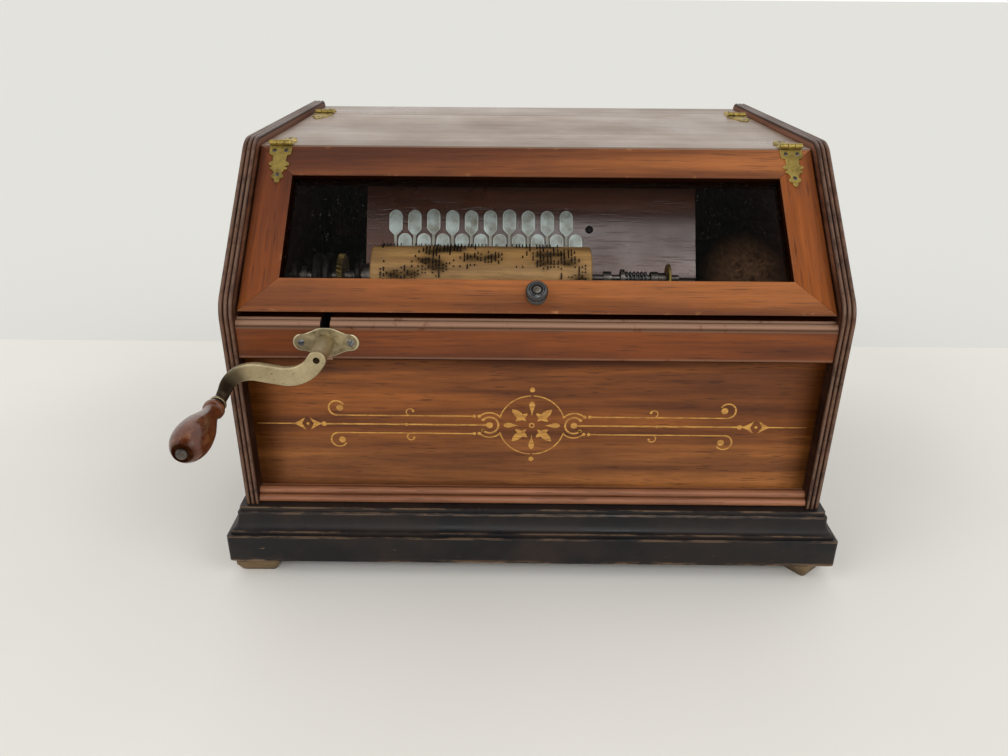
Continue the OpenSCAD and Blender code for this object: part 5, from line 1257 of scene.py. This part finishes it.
# %% Tail spring
COILS, SPRING_X0, SPRING_X1, COIL_R, WIRE_R, END_IN = 6, 68.1, 87.4, 4.6, 0.6, 1.2
wind = np.linspace(0, 2 * math.pi * COILS, 16 * COILS + 1)
helix_x = SPRING_X0 + END_IN + (SPRING_X1 - SPRING_X0 - 2 * END_IN) * wind / wind[-1]
wire_x = np.concatenate([[SPRING_X0, SPRING_X0 + 0.6], helix_x, [SPRING_X1 - 0.6, SPRING_X1]])
wire_out = np.pad(ray(wind), ((2, 2), (0, 0)), "edge") @ np.stack([Y, Z])
wire = AXIS + wire_x[:, None] * X + COIL_R * wire_out
along = unit(np.gradient(wire, axis=0))
across = unit(np.cross(along, wire_out))
wire_section = WIRE_R * ray(np.linspace(0, 2 * math.pi, 10, endpoint=False))
spring = put("organ_tail_spring", sweep(wire, wire_section, np.cross(across, along), across), steel, "tail",
             ("tail_spring",))

# %% [markdown]
# ## Valve board and keys
# A leaning board with twenty holes is closed by twenty zinc keys on one wire. Each key is stamped
# from sheet: a spoon-shaped paddle, a narrow stem, a hub on the wire and a tooth that the pins push.
# A mesh could be cut by hand and copied. Here the half width is a function of the run, so the two
# rows of keys, which differ in length, come from one formula.

# %% Valve board
board_wood = wood("valve_board_wood", "varnished_board", srgb(72, 36, 18), srgb(108, 59, 35), "X", across=45,
                  drawn=2.5, gloss=0.30, pore=0.35, blot=0.3, seed=27.0, shine=0.55, dirt_and_shade=0.95)
# The board leans back from the roller, and its foot lies behind the roller's axis.
LEAN, BOARD_FAR, PIVOT_S = math.radians(29), 37.8, 10.0
UP_BOARD = np.array([0, math.sin(LEAN), math.cos(LEAN)])
OFF_BOARD = np.array([0, -math.cos(LEAN), math.sin(LEAN)])
BOARD_FOOT = AXIS - BOARD_FAR * OFF_BOARD
board_outline = np.array([[-26, -4], [7.8, -4], [7.8, 0], [100, 0], [100, -12], [-19.4, -12]])
cut = dense(board_outline, 3.0)
# The board is darker below the key wire.
board_foot_dark = np.clip((10 - cut[:, 0]) / 4, 0, 1)
put("organ_valve_board", prism(cut, -134, 131, BOARD_FOOT, UP_BOARD, OFF_BOARD, X, board_outline, board_foot_dark),
    board_wood, "case", ("pallet_board",))
SCREW_AT = BOARD_FOOT + 45.5 * X + 46.5 * UP_BOARD + 0.2 * OFF_BOARD
put("organ_valve_board_screws", merge(*screw(SCREW_AT, OFF_BOARD, 3.2, 1.6)), dark_iron, "case")

# %% Zinc and the form of a key
zinc = metal("stained_zinc", "zinc", srgb(162, 172, 168), srgb(108, 96, 70), 0.42, 95, 0.75, 0.55,
             srgb(200, 208, 202))
KEY_RIM_WEAR_AND_HIGHLIGHT = np.array([0, 0.3, 0.8, 0.9, 0, 0, 0.9, 0.8, 0.3, 0])
KEY_LOW, TIP_FAR, TIP_RUN, PADDLE_HALF, STEM_HALF, STEPS = -6, 10.2, 5.4, 5.45, 1.3, 90
LONG_ROW, SHORT_ROW, RAISED = 41.0, 21.9, 0.9


def key_shape(x, row, raised):
    """Rows of a thin section: half width from a circle at the tip, straight sides, shoulders and stem."""
    tip = PIVOT_S + row + TIP_FAR + raised
    tip_run = tip - TIP_RUN * (1 - np.sin(np.linspace(0, math.pi / 2, 24)))
    s = np.concatenate([np.linspace(KEY_LOW, tip - TIP_RUN, STEPS)[:-1], tip_run])
    far = s - tip + TIP_FAR
    top = np.sqrt(np.clip(PADDLE_HALF ** 2 - (1.01 * np.clip(far - 4.8, 0, None)) ** 2, 0.01, None))
    shoulder = np.clip(PADDLE_HALF - 0.95 * np.clip(-6.0 - far, 0, None), STEM_HALF, None)
    half = np.minimum(top, shoulder)
    half[1:STEPS] = (half[:STEPS - 1] + 2 * half[1:STEPS] + half[2:STEPS + 1]) / 4
    lip, rim = np.minimum(0.3, half * 0.3), np.minimum(1.0, half * 0.6)
    left = np.stack([lip - half, -half, -half, lip - half, rim - half], -1)
    across = np.concatenate([left, -left[:, ::-1]], -1)
    height = np.array([0.3, 0.5, 1.25, 1.5, 1.46, 1.46, 1.5, 1.25, 0.5, 0.3])
    at = BOARD_FOOT + x * X
    points = at + across[..., None] * X + s[:, None, None] * UP_BOARD + height[:, None] * OFF_BOARD
    # The stem is darkened as painted shade, and the paddle's rims are pale: wear and a painted highlight.
    stem = np.interp(far, [-10.4, -8.6], [0.75, 0.0])[:, None]
    pale = np.where(half[:, None] > 2.2, KEY_RIM_WEAR_AND_HIGHLIGHT, 0.7) * (1 - stem)
    hub_at = at + PIVOT_S * UP_BOARD + 2.5 * OFF_BOARD
    hub = lathe([[1.06, -1.6], [2.1, -1.6], [2.1, 1.6], [1.06, 1.6]], hub_at, X, 24)
    tooth_edge = rounded([[-6, 0.4], [-3, 0.4], [-3.6, 12.4], [-5.4, 12.4]], 0.3)
    return merge(skin(points, stem, pale), hub, prism(tooth_edge, -0.85, 0.85, at, UP_BOARD, OFF_BOARD, X))


print("a long key has", len(key_shape(0.0, LONG_ROW, 0.0)[0]), "points")

# %% Twenty keys
for i in range(1, KEYS + 1):
    name = "key_%02d" % i
    row = LONG_ROW if i % 2 else SHORT_ROW
    raised = RAISED if i in (5, 13) else 0.0
    put("organ_" + name, key_shape(KEY_MID + (i - 10.5) * KEY_PITCH, row, raised), zinc, name, (name,))

# %% [markdown]
# ## Bellows
# A feeder under the deck pumps air into a sprung reservoir on top of it. Each is a wedge between two
# boards, with walls of leather that fold in pleats. A cloth simulation could fold them. A grid round
# the four sides, whose rows step in and out in a zigzag, is enough, because hardly any of it shows.

# %% Leather finish
leather, nt, b = start("bellows_leather", "bellows_leather")
at = object_place(nt)
mottled = level(nt, noise(nt, at, 22.0, 4.0), 0.35, 0.7)
nt.links.new(blend(nt, mottled, srgb(150, 128, 96), srgb(196, 176, 140)), b.inputs["Base Color"])
b.inputs["Roughness"].default_value = 0.75
bump(nt, b, noise(nt, at, 420.0, 5.0, 0.6), 0.35, 0.0005)


# %% Pleats and the boards they join
def pleated(lo, hi, low, high, folds, deep):
    """Rows from low to high of a rounded rectangle, every second one drawn in by the fold's depth."""
    rim = dense(rounded([lo, [hi[0], lo[1]], hi, [lo[0], hi[1]]], 6), 12.0)
    odd = np.arange(2 * folds + 1) % 2
    flat = rim[None] + np.where(odd, deep, 0.0)[:, None, None] * unit(rim.mean(0) - rim)
    z0, z1 = low(flat), high(flat)
    z = z0 + (z1 - z0) * np.linspace(0, 1, len(odd))[:, None]
    return skin(np.concatenate([flat, z[..., None]], -1), np.where(odd, 0.8, 0.0)[:, None])


BOARD_HALF, CLEAR, DECK_T = 4.3, 0.2, 10.0
FEED_Z, FEED_X, FEED_SLOPE = 150.0, 165.0, math.atan2(150.0 - 102.0, 165.0 - CRANK_X)
RES_Y, RES_Z, RES_OPEN = 325.0, 178.0, math.radians(20)


def feeder_top(p):
    """The feeder board's upper face: it falls from its hinge at the right."""
    return FEED_Z + BOARD_HALF / math.cos(FEED_SLOPE) + (p[..., 0] - FEED_X) * math.tan(FEED_SLOPE) + CLEAR


def reservoir_underside(p):
    """The reservoir board's lower face: it rises from its hinge at the back."""
    return RES_Z - BOARD_HALF / math.cos(RES_OPEN) + (RES_Y - p[..., 1]) * math.tan(RES_OPEN) - CLEAR


print("the feeder hangs", math.degrees(FEED_SLOPE), "degrees open, the reservoir", math.degrees(RES_OPEN))

# %% Feeder and reservoir leather
feeder = put("organ_feeder_leather", pleated(
    [-119, 66.5], [158, 303.5], feeder_top, lambda p: np.full(p.shape[:-1], DECK_Z - DECK_T - 0.1), 5, 7.0),
    leather, "case", ("feeder_cloth",))
reservoir = put("organ_reservoir_leather", pleated(
    [-94, 230.5], [118, 318.5], lambda p: np.full(p.shape[:-1], DECK_Z + 0.1), reservoir_underside, 4, 6.0),
    leather, "case", ("reservoir_cloth",))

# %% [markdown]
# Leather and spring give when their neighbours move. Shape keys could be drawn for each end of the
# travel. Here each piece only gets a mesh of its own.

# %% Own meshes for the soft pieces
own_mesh(feeder)
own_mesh(reservoir)
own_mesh(spring)

# %% [markdown]
# ## Works that keep their CAD surface
# Shafts, worm, cam, key wire, reeds and the boards inside the case are plain machined or sawn forms.
# Modelling them again would add nothing, so their CAD surfaces stay and take the fitting finish.

# %% Finishes on the remaining CAD nodes
plain_wood = wood("plain_softwood", None, srgb(140, 102, 62), srgb(196, 158, 108), "X", gloss=0.6,
                  pore=0.2, seed=21.0)
# The deck inside the case takes the inside black, a painted shade.
for finish, names in (
        (inside_shade_black, ("deck_board",)),
        (plain_wood, ("base_board", "reed_block", "connecting_rod", "feeder_board", "reservoir_board")),
        (brass, ("reeds", "key_pivots")),
        (dark_steel, ("crankshaft", "worm", "drive_arbor", "tail_rod")),
        (dark_iron, ("shift_cam",))):
    for name in names:
        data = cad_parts[name].data
        data.materials.clear()
        data.materials.append(finish)
    print(finish.name, "on", *names)

# %% [markdown]
# ## Stage and light
# The organ stands on a pale table before a pale wall. A floor with two tones gives both, since the
# camera looks down on it. The room is an even light, dark only where the glass would mirror it, or
# the pane would be a white sheet.

# %% Floor
TABLE_END, FLOOR_FAR = (0.3245, 0.3255), 300
floor_mat, nt, b = start("pale_table")
at = object_place(nt)
table = blend(nt, level(nt, noise(nt, at, 3.0, 2.0), 0.3, 0.7), srgb(224, 222, 216), srgb(229, 227, 222))
far = add(nt, "SeparateXYZ", Vector=at).outputs["Y"]
nt.links.new(blend(nt, level(nt, far, *TABLE_END), table, srgb(217, 217, 213)), b.inputs["Base Color"])
b.inputs["Roughness"].default_value = 0.8
b.inputs["Specular IOR Level"].default_value = 0.0
mesh = bpy.data.meshes.new("table_top")
floor_corners = [(FLOOR_FAR * x, FLOOR_FAR * y, 0) for x, y in ((-1, -1), (1, -1), (1, 1), (-1, 1))]
mesh.from_pydata(floor_corners, [], [(0, 1, 2, 3)])
mesh.materials.append(floor_mat)
floor = bpy.data.objects.new("table_top", mesh)
bpy.context.collection.objects.link(floor)
print("the table ends at", TABLE_END[0])

# %% Room
MIRRORED, PALE = (0.0, -0.45, 0.893), (0.95, 0.94, 0.92, 1)
DIM, DARK = (0.06, 0.06, 0.06, 1), (0.04, 0.04, 0.04, 1)
world = bpy.data.worlds.new("pale_room")
bpy.context.scene.world = world
world.use_nodes = True
nt = world.node_tree
facing = along_way(nt, add(nt, "TexCoord").outputs["Generated"], MIRRORED)
room = ramp(nt, facing, (0.0, PALE), (0.81, PALE), (0.90, DIM), (1.0, DARK))
nt.links.new(room, nt.nodes["Background"].inputs["Color"])
nt.nodes["Background"].inputs["Strength"].default_value = 1.12
print("the room is dark towards", MIRRORED)

# %% [markdown]
# Two soft side lamps model the forms, a low one in front lights the base, and a narrow one stands for
# the window that glints on varnish and metal. Area lamps would fall off with distance. Suns don't, so
# the light is the same at any size.

# %% Lamps
def sun(name, toward, strength, degrees):
    """A lamp far away: toward points from the object to it, and degrees is how wide it looks."""
    light = bpy.data.lights.new(name, "SUN")
    light.energy = strength
    light.angle = math.radians(degrees)
    lamp = bpy.data.objects.new(name, light)
    z = unit(toward)
    x = unit(np.cross([0, 1, 0.01], z))
    y = np.cross(z, x)
    lamp.matrix_world = Matrix([[x[k], y[k], z[k], 0] for k in range(3)] + [[0, 0, 0, 1]])
    bpy.context.collection.objects.link(lamp)
    print(name, strength)


sun("left_light", (-0.72, -0.40, 0.57), 0.35, 36)
sun("right_light", (0.72, -0.40, 0.57), 0.35, 36)
sun("front_light", (0.0, -0.94, 0.34), 0.30, 20)
sun("window_glint", (0.15, -0.73, 0.67), 0.6, 14)
bpy.context.scene.view_settings.view_transform = "Standard"
